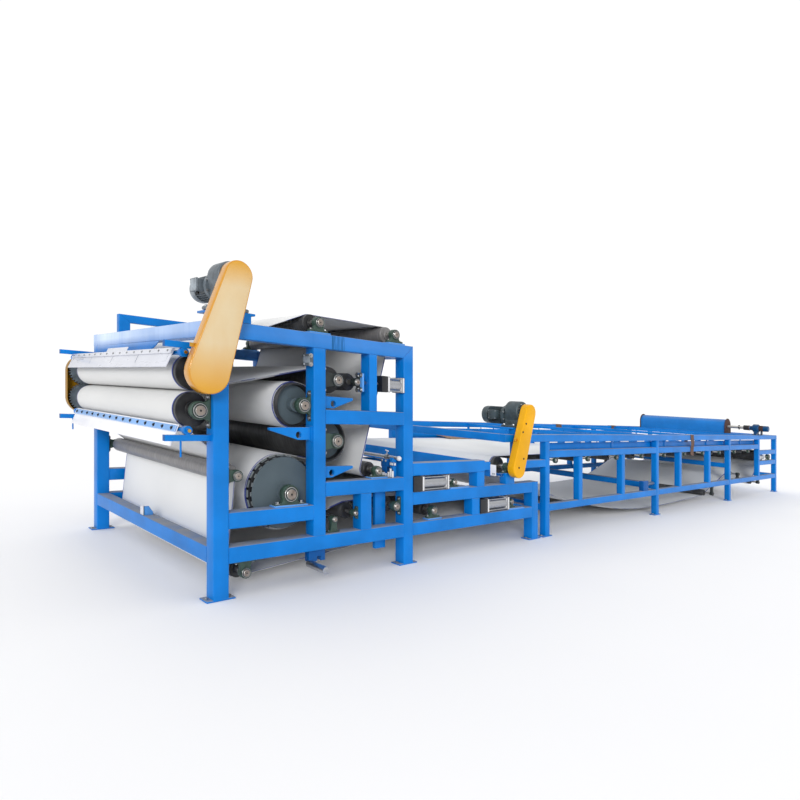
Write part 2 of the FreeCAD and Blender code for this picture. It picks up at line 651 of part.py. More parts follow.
def plough_row(x):
    """A bar between the table's top rails, with its end tabs and a row of ploughs over the belt."""
    y0, y1 = outer_near + TABLE_TUBE, outer_far - TABLE_TUBE
    bar_half = PLOUGH_BAR / 2
    tab_w, tab_t, tab_h = PLOUGH_TAB
    top = TABLE_TOP_Z + bar_half
    pieces = [box(x - bar_half, x + bar_half, y0, y1, top - PLOUGH_BAR, top)]
    for a, b in ((y0, y0 + tab_t), (y1 - tab_t, y1)):
        pieces.append(box(x - tab_w / 2, x + tab_w / 2, a, b, top - tab_h, top))
    low = idler_z + IDLER_R + ROLLER_GAP + BELT_T + PLOUGH_CLEAR
    reach, wing, thick = PLOUGH_WING
    for k in range(PLOUGH_COUNT):
        y = belt_near + BELT_WIDTH * (k + 0.5) / PLOUGH_COUNT
        chevron = [(x + reach, y), (x - reach, y + wing), (x - reach - thick, y + wing),
                   (x + reach - 2 * thick, y), (x - reach - thick, y - wing), (x - reach, y - wing)]
        pieces.append(prism_z(chevron, low, low + PLOUGH_H))
        stem_x = x + reach - thick
        stem = Part.makeCylinder(PLOUGH_STEM_R, top - low - bar_half, FreeCAD.Vector(stem_x, y, low))
        pieces.append(stem)
        pieces.append(box(x, stem_x + PLOUGH_STEM_R, y - PLOUGH_STEM_R, y + PLOUGH_STEM_R,
                          top - PLOUGH_BAR, top - bar_half))
    return fuse(pieces)


def sole(x, y, size_x, size_y):
    """A foot's base plate with two bolt holes in line."""
    long_half = size_x / 2 + SOLE_OVERHANG
    plate = box(x - long_half, x + long_half, y - size_y / 2, y + size_y / 2, 0.0, SOLE_T)
    for side in (-1, 1):
        hole_x = x + side * (long_half - SOLE_BOLT_INSET)
        plate = plate.cut(Part.makeCylinder(SOLE_BOLT_R, SOLE_T, FreeCAD.Vector(hole_x, y, 0)))
    return plate


def table_posts(y):
    """Legs run from their soles to the top rail, struts between the low and the middle rail,
    and one short post joins the top rail's free end to the short rail below it."""
    posts = [bar(x, y, SOLE_T, TABLE_TOP_Z - table_half, TABLE_TUBE, TABLE_TUBE) for x in LEG_XS]
    low = TABLE_LOW_Z + table_half
    for x in STRUT_XS[:-1]:
        posts.append(bar(x, y, low, TABLE_MID_Z - table_half, TABLE_TUBE, TABLE_TUBE))
    posts.append(bar(STRUT_XS[-1], y, low, TABLE_TOP_Z - table_half, TABLE_TUBE, TABLE_TUBE))
    posts.append(bar(SHORT_RAIL_X + table_half, y, SHORT_RAIL_Z + table_half, TABLE_TOP_Z - table_half,
                     TABLE_TUBE, TABLE_TUBE))
    return posts


def table_rails(y):
    """The table's side rails, cut to length between the legs."""
    def span(x0, x1, z):
        return rail(x0 + table_half, x1 - table_half, y, z, TABLE_TUBE, TABLE_TUBE)
    tail_post = STRUT_XS[-1]
    stops = LEG_XS[:3] + [tail_post]
    rails = [rail(TABLE_START_X, LEG_XS[-1] + table_half, y, TABLE_TOP_Z, TABLE_TUBE, TABLE_TUBE)]
    rails.append(rail(SHORT_RAIL_X, LEG_XS[0] - table_half, y, SHORT_RAIL_Z, TABLE_TUBE, TABLE_TUBE))
    for x0, x1 in zip(stops, stops[1:]):
        rails.append(span(x0, x1, TABLE_MID_Z))
    for x0, x1 in zip(LEG_XS, LEG_XS[1:]):
        rails.append(span(x0, x1, TABLE_LOW_Z))
    rails.append(span(tail_post, LEG_XS[-1], TAIL_UPPER_Z))
    rails.append(span(tail_post, LEG_XS[-1], TAIL_LOWER_Z))
    return rails


def table_cross(x, z):
    y0, y1 = outer_near + TABLE_TUBE, outer_far - TABLE_TUBE
    return box(x - table_half, x + table_half, y0, y1, z - table_half, z + table_half)


def build_frames():
    raised_posts, raised_rail = raised_frame(far_y)
    save("press_posts_near", *press_posts(near_y))
    save("press_rails_near", *press_rails(near_y))
    save("press_posts_far", *(press_posts(far_y) + raised_posts))
    save("press_rails_far", *(press_rails(far_y) + [raised_rail]))
    save("press_cross_tubes",
         cross_tube(0.0, LOW_RAIL_Z), cross_tube(0.0, top_rail_z),
         cross_tube(POST_3_X, top_rail_z), cross_tube(POST_4_X, LOW_RAIL_Z),
         front_plate(), table_tray())
    soles = [sole(x, y, TUBE, TUBE) for x in (0.0, POST_3_X, POST_4_X) for y in side_ys]
    soles += [sole(x, y, TABLE_TUBE, TABLE_TUBE) for x in LEG_XS for y in table_ys]
    save("foot_plates", *soles)
    save("table_posts", *(table_posts(table_ys[0]) + table_posts(table_ys[1])))
    save("table_rails", *(table_rails(table_ys[0]) + table_rails(table_ys[1])))
    ends = [(TABLE_START_X + table_half, TABLE_TOP_Z), (LEG_XS[-1], TABLE_TOP_Z)]
    low = [(LEG_XS[0], TABLE_LOW_Z), (LEG_XS[-1], TABLE_LOW_Z)]
    feed = [(x, TABLE_TOP_Z) for x in FEED_TIE_XS]
    ties = [table_cross(x, z) for x, z in ends + low + feed + TABLE_TIES]
    save("table_cross_tubes", *(ties + [plough_row(x) for x in PLOUGH_XS]))


def pedestal(y):
    """The table drive's pedestal on the long rail, up to the bearing's seat."""
    seat = TABLE_DRIVE_Z - TABLE_DRIVE_SHAFT * HOUSING_RATIO - PEDESTAL_DROP
    return bar(TABLE_DRIVE_X, y, LONG_RAIL_Z + half, seat, TUBE + PEDESTAL_EXTRA, TABLE_TUBE)


SHIMMED = [
    (DRUM, DRUM_STANDOFF, DRUM_SHAFT), (FRONT_TOP, FRONT_TOP_STANDOFF, TOP_SHAFT),
    (REAR_TOP, REAR_TOP_STANDOFF, TOP_SHAFT), (RISER, RISER_STANDOFF, GUIDE_SHAFT),
    (LOW_RETURN, LOW_RETURN_STANDOFF, GUIDE_SHAFT),
]


def shim(place, standoff, shaft_r, y):
    """The plate that a standing bearing is bolted down on."""
    x, z = place
    long_half = housing_radius(shaft_r, standoff - SHIM_T) * SEAT_RATIO + SHIM_MARGIN
    y0, y1 = y - BEARING_T / 2 - SHIM_MARGIN, y + BEARING_T / 2 + SHIM_MARGIN
    return box(x - long_half, x + long_half, y0, y1, z - standoff, z - standoff + SHIM_T)


def build_bearings():
    """Bearings of the rollers that turn in the fixed frames."""
    seats = [
        (UPPER_NIP, "right", NIP_STANDOFF, PRESS_SHAFT), (LOWER_NIP, "right", NIP_STANDOFF, PRESS_SHAFT),
        (SECOND, "right", SECOND_STANDOFF, SECOND_SHAFT),
        (THIRD, "left", THIRD_STANDOFF, SECOND_SHAFT), (TURN, "left", TURN_STANDOFF, TURN_SHAFT),
        (WASH_GUIDE, "left", WASH_GUIDE_STANDOFF, GUIDE_SHAFT),
        (SMALL, "right", SMALL_STANDOFF, SMALL_SHAFT), (PARTING, "right", PARTING_STANDOFF, GUIDE_SHAFT),
        (BOTTOM, "up", BOTTOM_STANDOFF, GUIDE_SHAFT),
        (SUPPORT, "down", SUPPORT[1] - low_top, SUPPORT_SHAFT),
    ]
    seats += [(place, "down", off - SHIM_T, r) for place, off, r in SHIMMED]
    save("press_bearings", *[bearing(x, z, towards, off, r, y)
                             for (x, z), towards, off, r in seats for y in side_ys])
    drive_off = TABLE_DRIVE_SHAFT * HOUSING_RATIO + PEDESTAL_DROP
    blocks = []
    for y in table_ys:
        blocks.append(bearing(*TABLE_DRIVE, "down", drive_off, TABLE_DRIVE_SHAFT, y))
        blocks.append(bearing(*TAIL, "down", TAIL_STANDOFF, TABLE_DRIVE_SHAFT, y))
        for (x, z), (_, side, off) in zip(RETURNS, RETURN_PLACES):
            blocks.append(bearing(x, z, "up" if side == "below" else "down", off, SUPPORT_SHAFT, y))
    save("table_bearings", *blocks)
    save("drive_pedestals", *[pedestal(y) for y in table_ys])


# Idlers: carried by small hangers under the table's middle rail
def idler_hanger(x, z, y):
    wide = IDLER_SHAFT * HANGER_RATIO
    y0, y1 = y - HANGER_T / 2, y + HANGER_T / 2
    block = box(x - wide, x + wide, y0, y1, z - wide, z + IDLER_STANDOFF)
    return block.cut(round_y(x, z, IDLER_SHAFT + SHAFT_PLAY, y0 - 1, y1 + 1))


# Gears
def gear(x, z, y0, phase):
    """A spur gear with straight-flanked teeth, its first tooth at the angle phase."""
    pitch_r = (UPPER_NIP_Z - LOWER_NIP_Z) / 2
    module = 2 * pitch_r / GEAR_TEETH
    tooth = 2 * math.pi / GEAR_TEETH
    thin = GEAR_BACKLASH / 2 / pitch_r
    tip_r, root_r = pitch_r + ADDENDUM * module, pitch_r - DEDENDUM * module
    points = []
    for k in range(GEAR_TEETH):
        a = phase + k * tooth
        root, tip = tooth * ROOT_SHARE - thin, tooth * TIP_SHARE - thin / 2
        for r, da in ((root_r, -root), (tip_r, -tip), (tip_r, tip), (root_r, root)):
            points.append(polar((x, z), r, a + da))
    return prism_y(points, y0, y0 + GEAR_T)


def build_rollers():
    gear_y = outer_far + GEAR_OFFSET
    guard_y = near_y - half - GUARD_STANDOFF - GUARD_T + GUARD_WALL * 4
    shaft_far = gear_y + GEAR_T + GEAR_SHAFT_OUT
    tooth = math.pi / GEAR_TEETH
    upper = roller(*UPPER_NIP, PRESS_R, PRESS_SHAFT, guard_y, shaft_far)
    save("upper_press_roller", fuse([upper, gear(*UPPER_NIP, gear_y, -math.pi / 2)]))
    lower = roller(*LOWER_NIP, PRESS_R, PRESS_SHAFT, None, shaft_far)
    save("lower_press_roller", fuse([lower, gear(*LOWER_NIP, gear_y, math.pi / 2 + tooth)]))
    save("slatted_drum", slatted_drum(*DRUM))
    save("second_press_roller", roller(*SECOND, SECOND_R, SECOND_SHAFT, recess=RIM_RECESS))
    save("third_press_roller", roller(*THIRD, SECOND_R, SECOND_SHAFT, recess=RIM_RECESS))
    save("turn_roller", roller(*TURN, TURN_R, TURN_SHAFT))
    save("front_top_roller", roller(*FRONT_TOP, TOP_R, TOP_SHAFT))
    save("rear_top_roller", roller(*REAR_TOP, TOP_R, TOP_SHAFT))
    save("wash_guide_roller", roller(*WASH_GUIDE, GUIDE_R, GUIDE_SHAFT))
    save("riser_roller", roller(*RISER, GUIDE_R, GUIDE_SHAFT))
    save("small_guide_roller", roller(*SMALL, GUIDE_R, SMALL_SHAFT))
    save("parting_roller", roller(*PARTING, GUIDE_R, GUIDE_SHAFT))
    save("low_return_roller", roller(*LOW_RETURN, GUIDE_R, GUIDE_SHAFT))
    save("bottom_roller", roller(*BOTTOM, GUIDE_R, GUIDE_SHAFT))
    save("belt_support_roller", roller(*SUPPORT, SUPPORT_R, SUPPORT_SHAFT))
    save("pressure_roller", roller(*PRESS_SLIDE, TOP_R, TENSION_SHAFT))
    save("upper_tension_roller", roller(*UPPER_TENSION, TENSION_R, TENSION_SHAFT))
    save("lower_tension_roller", roller(*LOWER_TENSION, TENSION_R, TENSION_SHAFT))
    save("table_drive_roller", roller(*TABLE_DRIVE, TABLE_DRIVE_R, TABLE_DRIVE_SHAFT, guard_y))
    save("table_tail_roller", roller(*TAIL, TABLE_DRIVE_R, TABLE_DRIVE_SHAFT))
    for k, place in enumerate(RETURNS):
        save("return_roller_%d" % (k + 1), roller(*place, RETURN_R, SUPPORT_SHAFT))
    save("idler_rollers", *[roller(*place, IDLER_R, IDLER_SHAFT) for place in IDLERS])
    save("idler_hangers", *[idler_hanger(x, z, y) for x, z in IDLERS for y in table_ys])


def build_belts():
    save("upper_belt", belt(upper_stops))
    save("lower_belt", belt(lower_stops))
    save("gravity_belt", belt(gravity_stops))


# Cylinders and slides
def cylinder(x0, length, y, z, rod_side):
    """A square-capped cylinder along X from x0, open for its rod at the side +1 or -1."""
    x1 = x0 + length
    cap = CYL_CAP / 2
    body = fuse([
        box(x0, x0 + CYL_CAP_T, y - cap, y + cap, z - cap, z + cap),
        round_x(y, z, CYL_R, x0 + CYL_CAP_T, x1 - CYL_CAP_T),
        box(x1 - CYL_CAP_T, x1, y - cap, y + cap, z - cap, z + cap),
    ])
    if rod_side < 0:
        return body.cut(round_x(y, z, ROD_R + SHAFT_PLAY, x0 - 1, x0 + CYL_DEPTH))
    return body.cut(round_x(y, z, ROD_R + SHAFT_PLAY, x1 - CYL_DEPTH, x1 + 1))


def build_slides():
    press_cyl_x = POST_3_X - half - PRESS_CYL_LENGTH
    upper_cyl_x = POST_3_X + half
    lower_cyl_x = UNDER_POST_X + half
    cylinders, tracks, press, upper, lower = [], [], [], [], []
    for y in side_ys:
        cylinders += [cylinder(press_cyl_x, PRESS_CYL_LENGTH, y, PRESS_SLIDE_Z, -1),
                      cylinder(upper_cyl_x, TENSION_CYL_LENGTH, y, UPPER_CYL_Z, 1),
                      cylinder(lower_cyl_x, TENSION_CYL_LENGTH, y, LOWER_TENSION_Z, 1)]
        plate_x = PRESS_SLIDE_X + PRESS_STANDOFF
        plate_y, plate_z = PRESS_PLATE_W / 2, PRESS_PLATE_H / 2
        press.append(fuse([
            bearing(*PRESS_SLIDE, "right", PRESS_STANDOFF, TENSION_SHAFT, y),
            box(plate_x, plate_x + PRESS_PLATE_T, y - plate_y, y + plate_y,
                PRESS_SLIDE_Z - plate_z, PRESS_SLIDE_Z + plate_z),
            round_x(y, PRESS_SLIDE_Z, ROD_R, plate_x + PRESS_PLATE_T, press_cyl_x + ROD_IN_CYL),
        ]))
        for (x, z), seat, rod_z, cyl_x, group in (
                (UPPER_TENSION, LONG_RAIL_Z + half, UPPER_CYL_Z, upper_cyl_x, upper),
                (LOWER_TENSION, low_top, LOWER_TENSION_Z, lower_cyl_x, lower)):
            track_x = x - TRACK_LEAD
            tracks.append(box(track_x, track_x + TRACK_L, y - TRACK_W / 2, y + TRACK_W / 2,
                              seat, seat + TRACK_T))
            standoff = z - seat - TRACK_T - SLIDE_GAP
            rod_end = x - housing_radius(TENSION_SHAFT, standoff) * ROD_SEAT_SHARE
            group.append(fuse([
                bearing(x, z, "down", standoff, TENSION_SHAFT, y),
                round_x(y, rod_z, ROD_R, cyl_x + TENSION_CYL_LENGTH - ROD_IN_CYL, rod_end),
            ]))
    tracks += [shim(*seat, y) for seat in SHIMMED for y in side_ys]
    save("air_cylinders", *cylinders)
    save("slide_tracks", *tracks)
    save("pressure_slides", *press)
    save("upper_tension_slides", *upper)
    save("lower_tension_slides", *lower)


# Drive guards and gearmotors
def obround_wire(low, r_low, high, r_high, y):
    """The outline round two circles of unlike size."""
    stops = [(low, r_low), (high, r_high)]
    return loop_wire(stops, 0.0, y)


def rounded_case(low, r_low, high, r_high, y0, depth, edge):
    """The case round two circles, its outer edge rounded."""
    case = Part.Face(obround_wire(low, r_low, high, r_high, y0)).extrude(FreeCAD.Vector(0, depth, 0))
    front = [e for e in case.Edges if abs(e.BoundBox.YMin - y0) < 1e-6 and abs(e.BoundBox.YMax - y0) < 1e-6]
    return case.makeFillet(edge, front)


def drive_guard(low, r_low, high, r_high, shaft_rs, bracket):
    """A chain guard of sheet: closed outside, with two shaft holes in its back."""
    y1 = outer_near - GUARD_STANDOFF
    y0 = y1 - GUARD_T
    case = rounded_case(low, r_low, high, r_high, y0, GUARD_T, GUARD_EDGE)
    space = rounded_case(low, r_low - GUARD_WALL, high, r_high - GUARD_WALL, y0 + GUARD_WALL,
                         GUARD_T - 2 * GUARD_WALL, GUARD_EDGE - GUARD_WALL)
    case = case.cut(space)
    for (x, z), r in zip((low, high), shaft_rs):
        case = case.cut(round_y(x, z, r + GUARD_HOLE_PLAY, y1 - GUARD_WALL - 1, y1 + 1))
    x, z = bracket
    wide = GUARD_BRACKET / 2
    return fuse([case, box(x - wide, x + wide, y1, outer_near, z - wide, z + wide)])


def fin_outline(x, z):
    """Outline of a finned motor body."""
    points = []
    pitch = 2 * math.pi / MOTOR_FINS
    valley = MOTOR_R - FIN_DEPTH
    crest, foot = FIN_SHARES
    for k in range(MOTOR_FINS):
        a = k * pitch
        for r, share in ((valley, -0.5), (valley, -foot), (MOTOR_R, -crest), (MOTOR_R, crest),
                         (valley, foot)):
            points.append(polar((x, z), r, a + share * pitch))
    return points


def gearmotor(x, z, seat_z, out_y):
    """A foot-mounted gearmotor along Y: round gear case, finned motor, fan cowl and terminal box."""
    y0 = outer_near - GUARD_STANDOFF + MOTOR_OFFSET
    y1 = y0 + GEARCASE_L
    y2 = y1 + FLANGE_T
    y3 = y2 + MOTOR_L
    y4 = y3 + COWL_L
    r, neck = GEARCASE_R, GEARCASE_NECK_R
    case = [(0, y0 - SEAL_BOSS_T), (SEAL_BOSS_R, y0 - SEAL_BOSS_T), (SEAL_BOSS_R, y0), (r * 0.88, y0),
            (r, y0 + r * 0.12), (r, y1 - r * 0.52), (r * 0.94, y1 - r * 0.3), (neck, y1 - r * 0.09),
            (neck, y1), (0, y1)]
    cowl_r = MOTOR_R - COWL_STEP
    cowl = [(0, y3), (cowl_r, y3), (cowl_r, y4 - cowl_r * 0.3), (cowl_r * 0.94, y4 - cowl_r * 0.1),
            (cowl_r * COWL_FACE, y4), (0, y4)]
    foot = r + GEARCASE_FOOT_OUT
    foot_top = seat_z + GEARCASE_FOOT_T
    inset = GEARCASE_FOOT_OUT
    root = MOTOR_R - FIN_DEPTH - TERMINAL_SEAT
    box_y = y2 + TERMINAL_AT
    return fuse([
        box(x - foot, x + foot, y0 + inset / 2, y1 - inset / 2, seat_z, foot_top),
        box(x - r * 0.74, x + r * 0.74, y0 + inset, y1 - inset, foot_top, z - r * 0.5),
        turned_y(x, z, case),
        round_y(x, z, MOTOR_SHAFT_R, out_y, y0 - SEAL_BOSS_T),
        round_y(x, z, MOTOR_R + FLANGE_LIP, y1, y2),
        prism_y(fin_outline(x, z), y2, y3),
        turned_y(x, z, cowl),
        box(x - TERMINAL_REACH, x - root, box_y, box_y + TERMINAL_LENGTH,
            z + TERMINAL_LOW, z + TERMINAL_HIGH),
    ])


def motor_stand(x, rail_z, rail_w):
    """A welded stand on a rail, with a plate that reaches inwards under the gearmotor."""
    y0 = outer_near
    plate_z = rail_z + STAND_H
    return fuse([
        box(x - STAND_HALF, x + STAND_HALF, y0, y0 + rail_w, rail_z, plate_z),
        box(x - STAND_PLATE_HALF, x + STAND_PLATE_HALF, y0, y0 + STAND_PLATE_L,
            plate_z, plate_z + STAND_PLATE_T),
    ])


def build_drives():
    inner = outer_near - GUARD_STANDOFF - GUARD_T + GUARD_WALL * 4
    table_top = TABLE_TOP_Z + table_half
    save("press_drive_guard", drive_guard(
        UPPER_NIP, PRESS_GUARD_R[0], PRESS_MOTOR_AT, PRESS_GUARD_R[1], (PRESS_SHAFT, MOTOR_SHAFT_R),
        (post_1_front + half * 0.5, UPPER_NIP_Z + PRESS_GUARD_R[0])))
    save("press_drive_motor", gearmotor(*PRESS_MOTOR_AT, FRAME_TOP + STAND_H + STAND_PLATE_T, inner))
    save("table_drive_guard", drive_guard(
        TABLE_DRIVE, TABLE_GUARD_R[0], TABLE_MOTOR_AT, TABLE_GUARD_R[1], (TABLE_DRIVE_SHAFT, MOTOR_SHAFT_R),
        ((TABLE_DRIVE_X + TABLE_MOTOR_AT[0]) / 2, TABLE_TOP_Z)))
    save("table_drive_motor", gearmotor(*TABLE_MOTOR_AT, table_top + STAND_H + STAND_PLATE_T, inner))
    save("motor_stands", motor_stand(PRESS_MOTOR_AT[0] + STAND_SHIFT, FRAME_TOP, TUBE),
         motor_stand(TABLE_MOTOR_AT[0], table_top, TABLE_TUBE))
    y0 = outer_far + GEAR_OFFSET - GEAR_GUARD_BACK
    y1 = y0 + GEAR_GUARD_T + GEAR_GUARD_BACK
    outline = obround_wire(LOWER_NIP, GEAR_GUARD_R, UPPER_NIP, GEAR_GUARD_R, y0)
    inside = obround_wire(LOWER_NIP, GEAR_GUARD_R - GEAR_GUARD_SHEET, UPPER_NIP,
                          GEAR_GUARD_R - GEAR_GUARD_SHEET, y0)
    cover = Part.Face(outline).extrude(FreeCAD.Vector(0, y1 - y0, 0))
    cover = cover.cut(Part.Face(inside).extrude(FreeCAD.Vector(0, y1 - y0 - GEAR_GUARD_SHEET, 0)))
    side_x = nip_x + GEAR_GUARD_R
    mid_z = (UPPER_NIP_Z + LOWER_NIP_Z) / 2
    arm_half = GEAR_ARM_H / 2
    arm = box(side_x - GEAR_GUARD_SHEET, side_x + GEAR_ARM_X, outer_far, y1 - GEAR_GUARD_SHEET,
              mid_z - arm_half, mid_z + arm_half)
    save("gear_guard", fuse([cover, arm]))


# Scrapers
def blade_plate(ends, thick, y0, y1):
    (xa, za), (xb, zb) = ends
    length = math.hypot(xb - xa, zb - za)
    nx, nz = (zb - za) / length * thick, -(xb - xa) / length * thick
    return prism_y([(xa, za), (xb, zb), (xb + nx, zb + nz), (xa + nx, za + nz)], y0, y1)


def scraper(ends, pivot, clamp, clamp_t):
    """A doctor blade clamped to a cross shaft by lugs, with a bolting bar along it."""
    y0, y1 = barrel_near - BLADE_MARGIN, barrel_far + BLADE_MARGIN
    shaft = round_y(*pivot, SCRAPER_SHAFT_R, near_y - SHAFT_END, far_y + SHAFT_END)
    (xa, za), (xb, zb) = ends
    bar_ends = [(xa + (xb - xa) * share, za + (zb - za) * share) for share in clamp]
    pieces = [blade_plate(ends, BLADE_T, y0, y1), blade_plate(bar_ends, clamp_t, y0, y1), shaft]
    for k in range(SCRAPER_LUGS):
        y = y0 + LUG_INSET + (y1 - y0 - 2 * LUG_INSET) * k / (SCRAPER_LUGS - 1)
        share_a, share_b = LUG_SHARES
        a = (xa + (xb - xa) * share_a, za + (zb - za) * share_a)
        b = (xa + (xb - xa) * share_b, za + (zb - za) * share_b)
        pieces.append(prism_y([a, b, pivot], y - LUG_T / 2, y + LUG_T / 2))
    return fuse(pieces)


def scraper_arm(z, reach, pivot, y, handle_l=0.0):
    """A tube arm in front of the first post, with the scraper's hub below it and perhaps a handle."""
    tube = ARM_TUBE / 2
    pieces = [box(post_1_front - reach, post_1_front, y - tube, y + tube, z - tube, z + tube),
              round_y(*pivot, SCRAPER_HUB_R, y - tube, y + tube)]
    if handle_l:
        foot = FreeCAD.Vector(HANDLE_X, y, z - tube - handle_l)
        pieces.append(Part.makeCylinder(HANDLE_R, handle_l + tube, foot))
    whole = fuse(pieces)
    return whole.cut(round_y(*pivot, SCRAPER_SHAFT_R + SHAFT_PLAY, y - tube - 1, y + tube + 1))


def build_scrapers():
    save("upper_scraper", scraper(UPPER_BLADE, UPPER_PIVOT, UPPER_CLAMP, -CLAMP_T))
    save("lower_scraper", scraper(LOWER_BLADE, LOWER_PIVOT, LOWER_CLAMP, BLADE_T + CLAMP_T))
    arms = []
    for y in side_ys:
        arms.append(scraper_arm(UPPER_ARM_Z, UPPER_ARM_REACH, UPPER_PIVOT, y))
        arms.append(scraper_arm(LOWER_ARM_Z, LOWER_ARM_REACH, LOWER_PIVOT, y, HANDLE_L))
    save("scraper_arms", *arms)


# Feed box
def build_feed():
    """The trough on the table's feed ties, with its end flanges, shaft and drive."""
    z0 = TABLE_TOP_Z + table_half
    y0, y1 = FEED_Y0, FEED_Y0 + FEED_LENGTH
    centre = (FEED_X, FEED_SHAFT_Z)

    def shell_wire(r, z_low, y):
        left, right = (centre[0] - r, centre[1]), (centre[0] + r, centre[1])
        arc = Part.Arc(vec(left, y), vec((centre[0], centre[1] + r), y), vec(right, y)).toShape()
        legs = [Part.LineSegment(vec(right, y), vec((right[0], z_low), y)).toShape(),
                Part.LineSegment(vec((right[0], z_low), y), vec((left[0], z_low), y)).toShape(),
                Part.LineSegment(vec((left[0], z_low), y), vec(left, y)).toShape()]
        return Part.Wire([arc] + legs)
    cover = Part.Face(shell_wire(FEED_R, z0, y0)).extrude(FreeCAD.Vector(0, y1 - y0, 0))
    hollow = Part.Face(shell_wire(FEED_R - FEED_WALL, z0, y0)).extrude(FreeCAD.Vector(0, y1 - y0, 0))
    save("feed_box_cover", cover.cut(hollow))
    flanges = []
    for y in (y0 - FEED_FLANGE_T, y1):
        outline = shell_wire(FEED_R + FEED_FLANGE_LIP, z0, y)
        plate = Part.Face(outline).extrude(FreeCAD.Vector(0, FEED_FLANGE_T, 0))
        flanges.append(plate.cut(round_y(*centre, FEED_SHAFT_R + SHAFT_PLAY, y - 1, y + FEED_FLANGE_T + 1)))
    save("feed_box_ends", *flanges)
    gearbox_y0, gearbox_y1 = outer_near, outer_near + TABLE_TUBE + FEED_CASE_LEDGE
    rotor_r = FEED_R - FEED_ROTOR_GAP
    coupling_y = gearbox_y1 + FEED_COUPLING_AT
    shaft = fuse([
        round_y(*centre, FEED_SHAFT_R, gearbox_y1, y1 + FEED_ROTOR_GAP),
        round_y(*centre, rotor_r, y0 + FEED_ROTOR_END, y1 - FEED_ROTOR_END),
        round_y(*centre, FEED_SHAFT_R + FEED_COUPLING_LIP, coupling_y, coupling_y + FEED_COUPLING_L),
    ])
    save("feed_roller", shaft)
    wide, cut = FEED_CASE_HALF, FEED_CASE_CHAMFER
    case = [(centre[0] - wide, z0), (centre[0] + wide, z0), (centre[0] + wide, centre[1] + wide - cut),
            (centre[0] + wide - cut, centre[1] + wide), (centre[0] - wide + cut, centre[1] + wide),
            (centre[0] - wide, centre[1] + wide - cut)]
    pieces = [prism_y(case, gearbox_y0, gearbox_y1)]
    end = gearbox_y0
    for radius, length in FEED_MOTOR:
        pieces.append(round_y(*centre, radius, end - length, end))
        end -= length
    save("feed_gearmotor", fuse(pieces))


# Side fittings: what else the side frames carry
def pan_bracket(side, hub, tip, y):
    """A tapered bracket on the second post's face, with a bored hub for the pan's pivot."""
    face_x = POST_2_X + side * half
    foot_x = face_x + side * PAN_FOOT_T
    top = tip[1] + PAN_TIP_H / 4
    bottom = hub[1] - PAN_HUB_R
    y0, y1 = y - PAN_T / 2, y + PAN_T / 2
    outline = [(foot_x, bottom), (foot_x, top), tip, (tip[0], tip[1] - PAN_TIP_H), (hub[0], bottom)]
    foot_0, foot_1 = sorted((face_x, foot_x))
    foot_half = PAN_FOOT_W / 2
    body = fuse([
        prism_y(outline, y0, y1),
        round_y(*hub, PAN_HUB_R, y0, y1),
        box(foot_0, foot_1, y - foot_half, y + foot_half, bottom - PAN_FOOT_T, top + PAN_FOOT_T),
    ])
    return body.cut(round_y(*hub, PAN_BORE_R, y0 - 1, y1 + 1))


def press_tracker():
    """The belt tracking unit hung under the low rail, its small cylinder pointing outwards."""
    top = LOW_RAIL_Z - half
    bottom = top - TRACKER_H
    hanger = box(TRACKER_X0, TRACKER_X1, near_y - half / 2, near_y + half / 2, bottom, top)
    notch_x = (TRACKER_X0 + TRACKER_X1) / 2
    notch = box(notch_x, notch_x + TRACKER_NOTCH, near_y - half, near_y + half,
                bottom, bottom + TRACKER_NOTCH)
    x, z, radius = TRACKER_CYL
    return fuse([hanger.cut(notch), round_y(x, z, radius, *TRACKER_CYL_Y)])


def table_tracker():
    """The table's belt tracking unit, standing on the low rail."""
    y, seat = table_ys[0], TABLE_LOW_Z + table_half
    x1 = TABLE_TRACKER_X + TABLE_TRACKER_L
    cyl_z = seat + TABLE_TRACKER_H * TABLE_TRACKER_RISE
    wide = TABLE_TRACKER_W / 2
    stand = box(TABLE_TRACKER_X, x1, y - wide, y + wide, seat, seat + TABLE_TRACKER_H)
    return fuse([stand, round_x(y, cyl_z, TABLE_TRACKER_CYL_R, x1, x1 + TABLE_TRACKER_REACH)])


def drain_chute():
    """The flat drain duct on the inner face of the near side frame."""
    wide, wall = CHUTE_W / 2, CHUTE_WALL
    y0 = near_y + half
    top = MID_RAIL_Z
    outside = box(CHUTE_X - wide, CHUTE_X + wide, y0, y0 + CHUTE_DEPTH, CHUTE_LOW_Z, top)
    inside = box(CHUTE_X - wide + wall, CHUTE_X + wide - wall, y0 + wall, y0 + CHUTE_DEPTH - wall,
                 CHUTE_LOW_Z - 1, top + 1)
    return outside.cut(inside)


def tail_cylinder(y):
    """The cylinder between the tail post and the tail roller's bearing, with its rod."""
    x0 = STRUT_XS[-1] + table_half
    x1 = x0 + TAIL_CYL_L
    cap, cap_t, z = TAIL_CYL_CAP / 2, TAIL_CYL_CAP_T, TAIL[1]
    rod_end = TAIL_X - housing_radius(TABLE_DRIVE_SHAFT, TAIL_STANDOFF)
    return fuse([
        box(x0, x0 + cap_t, y - cap, y + cap, z - cap, z + cap),
        round_x(y, z, TAIL_CYL_R, x0 + cap_t, x1 - cap_t),
        box(x1 - cap_t, x1, y - cap, y + cap, z - cap, z + cap),
        round_x(y, z, ROD_R, x1, rod_end),
    ])


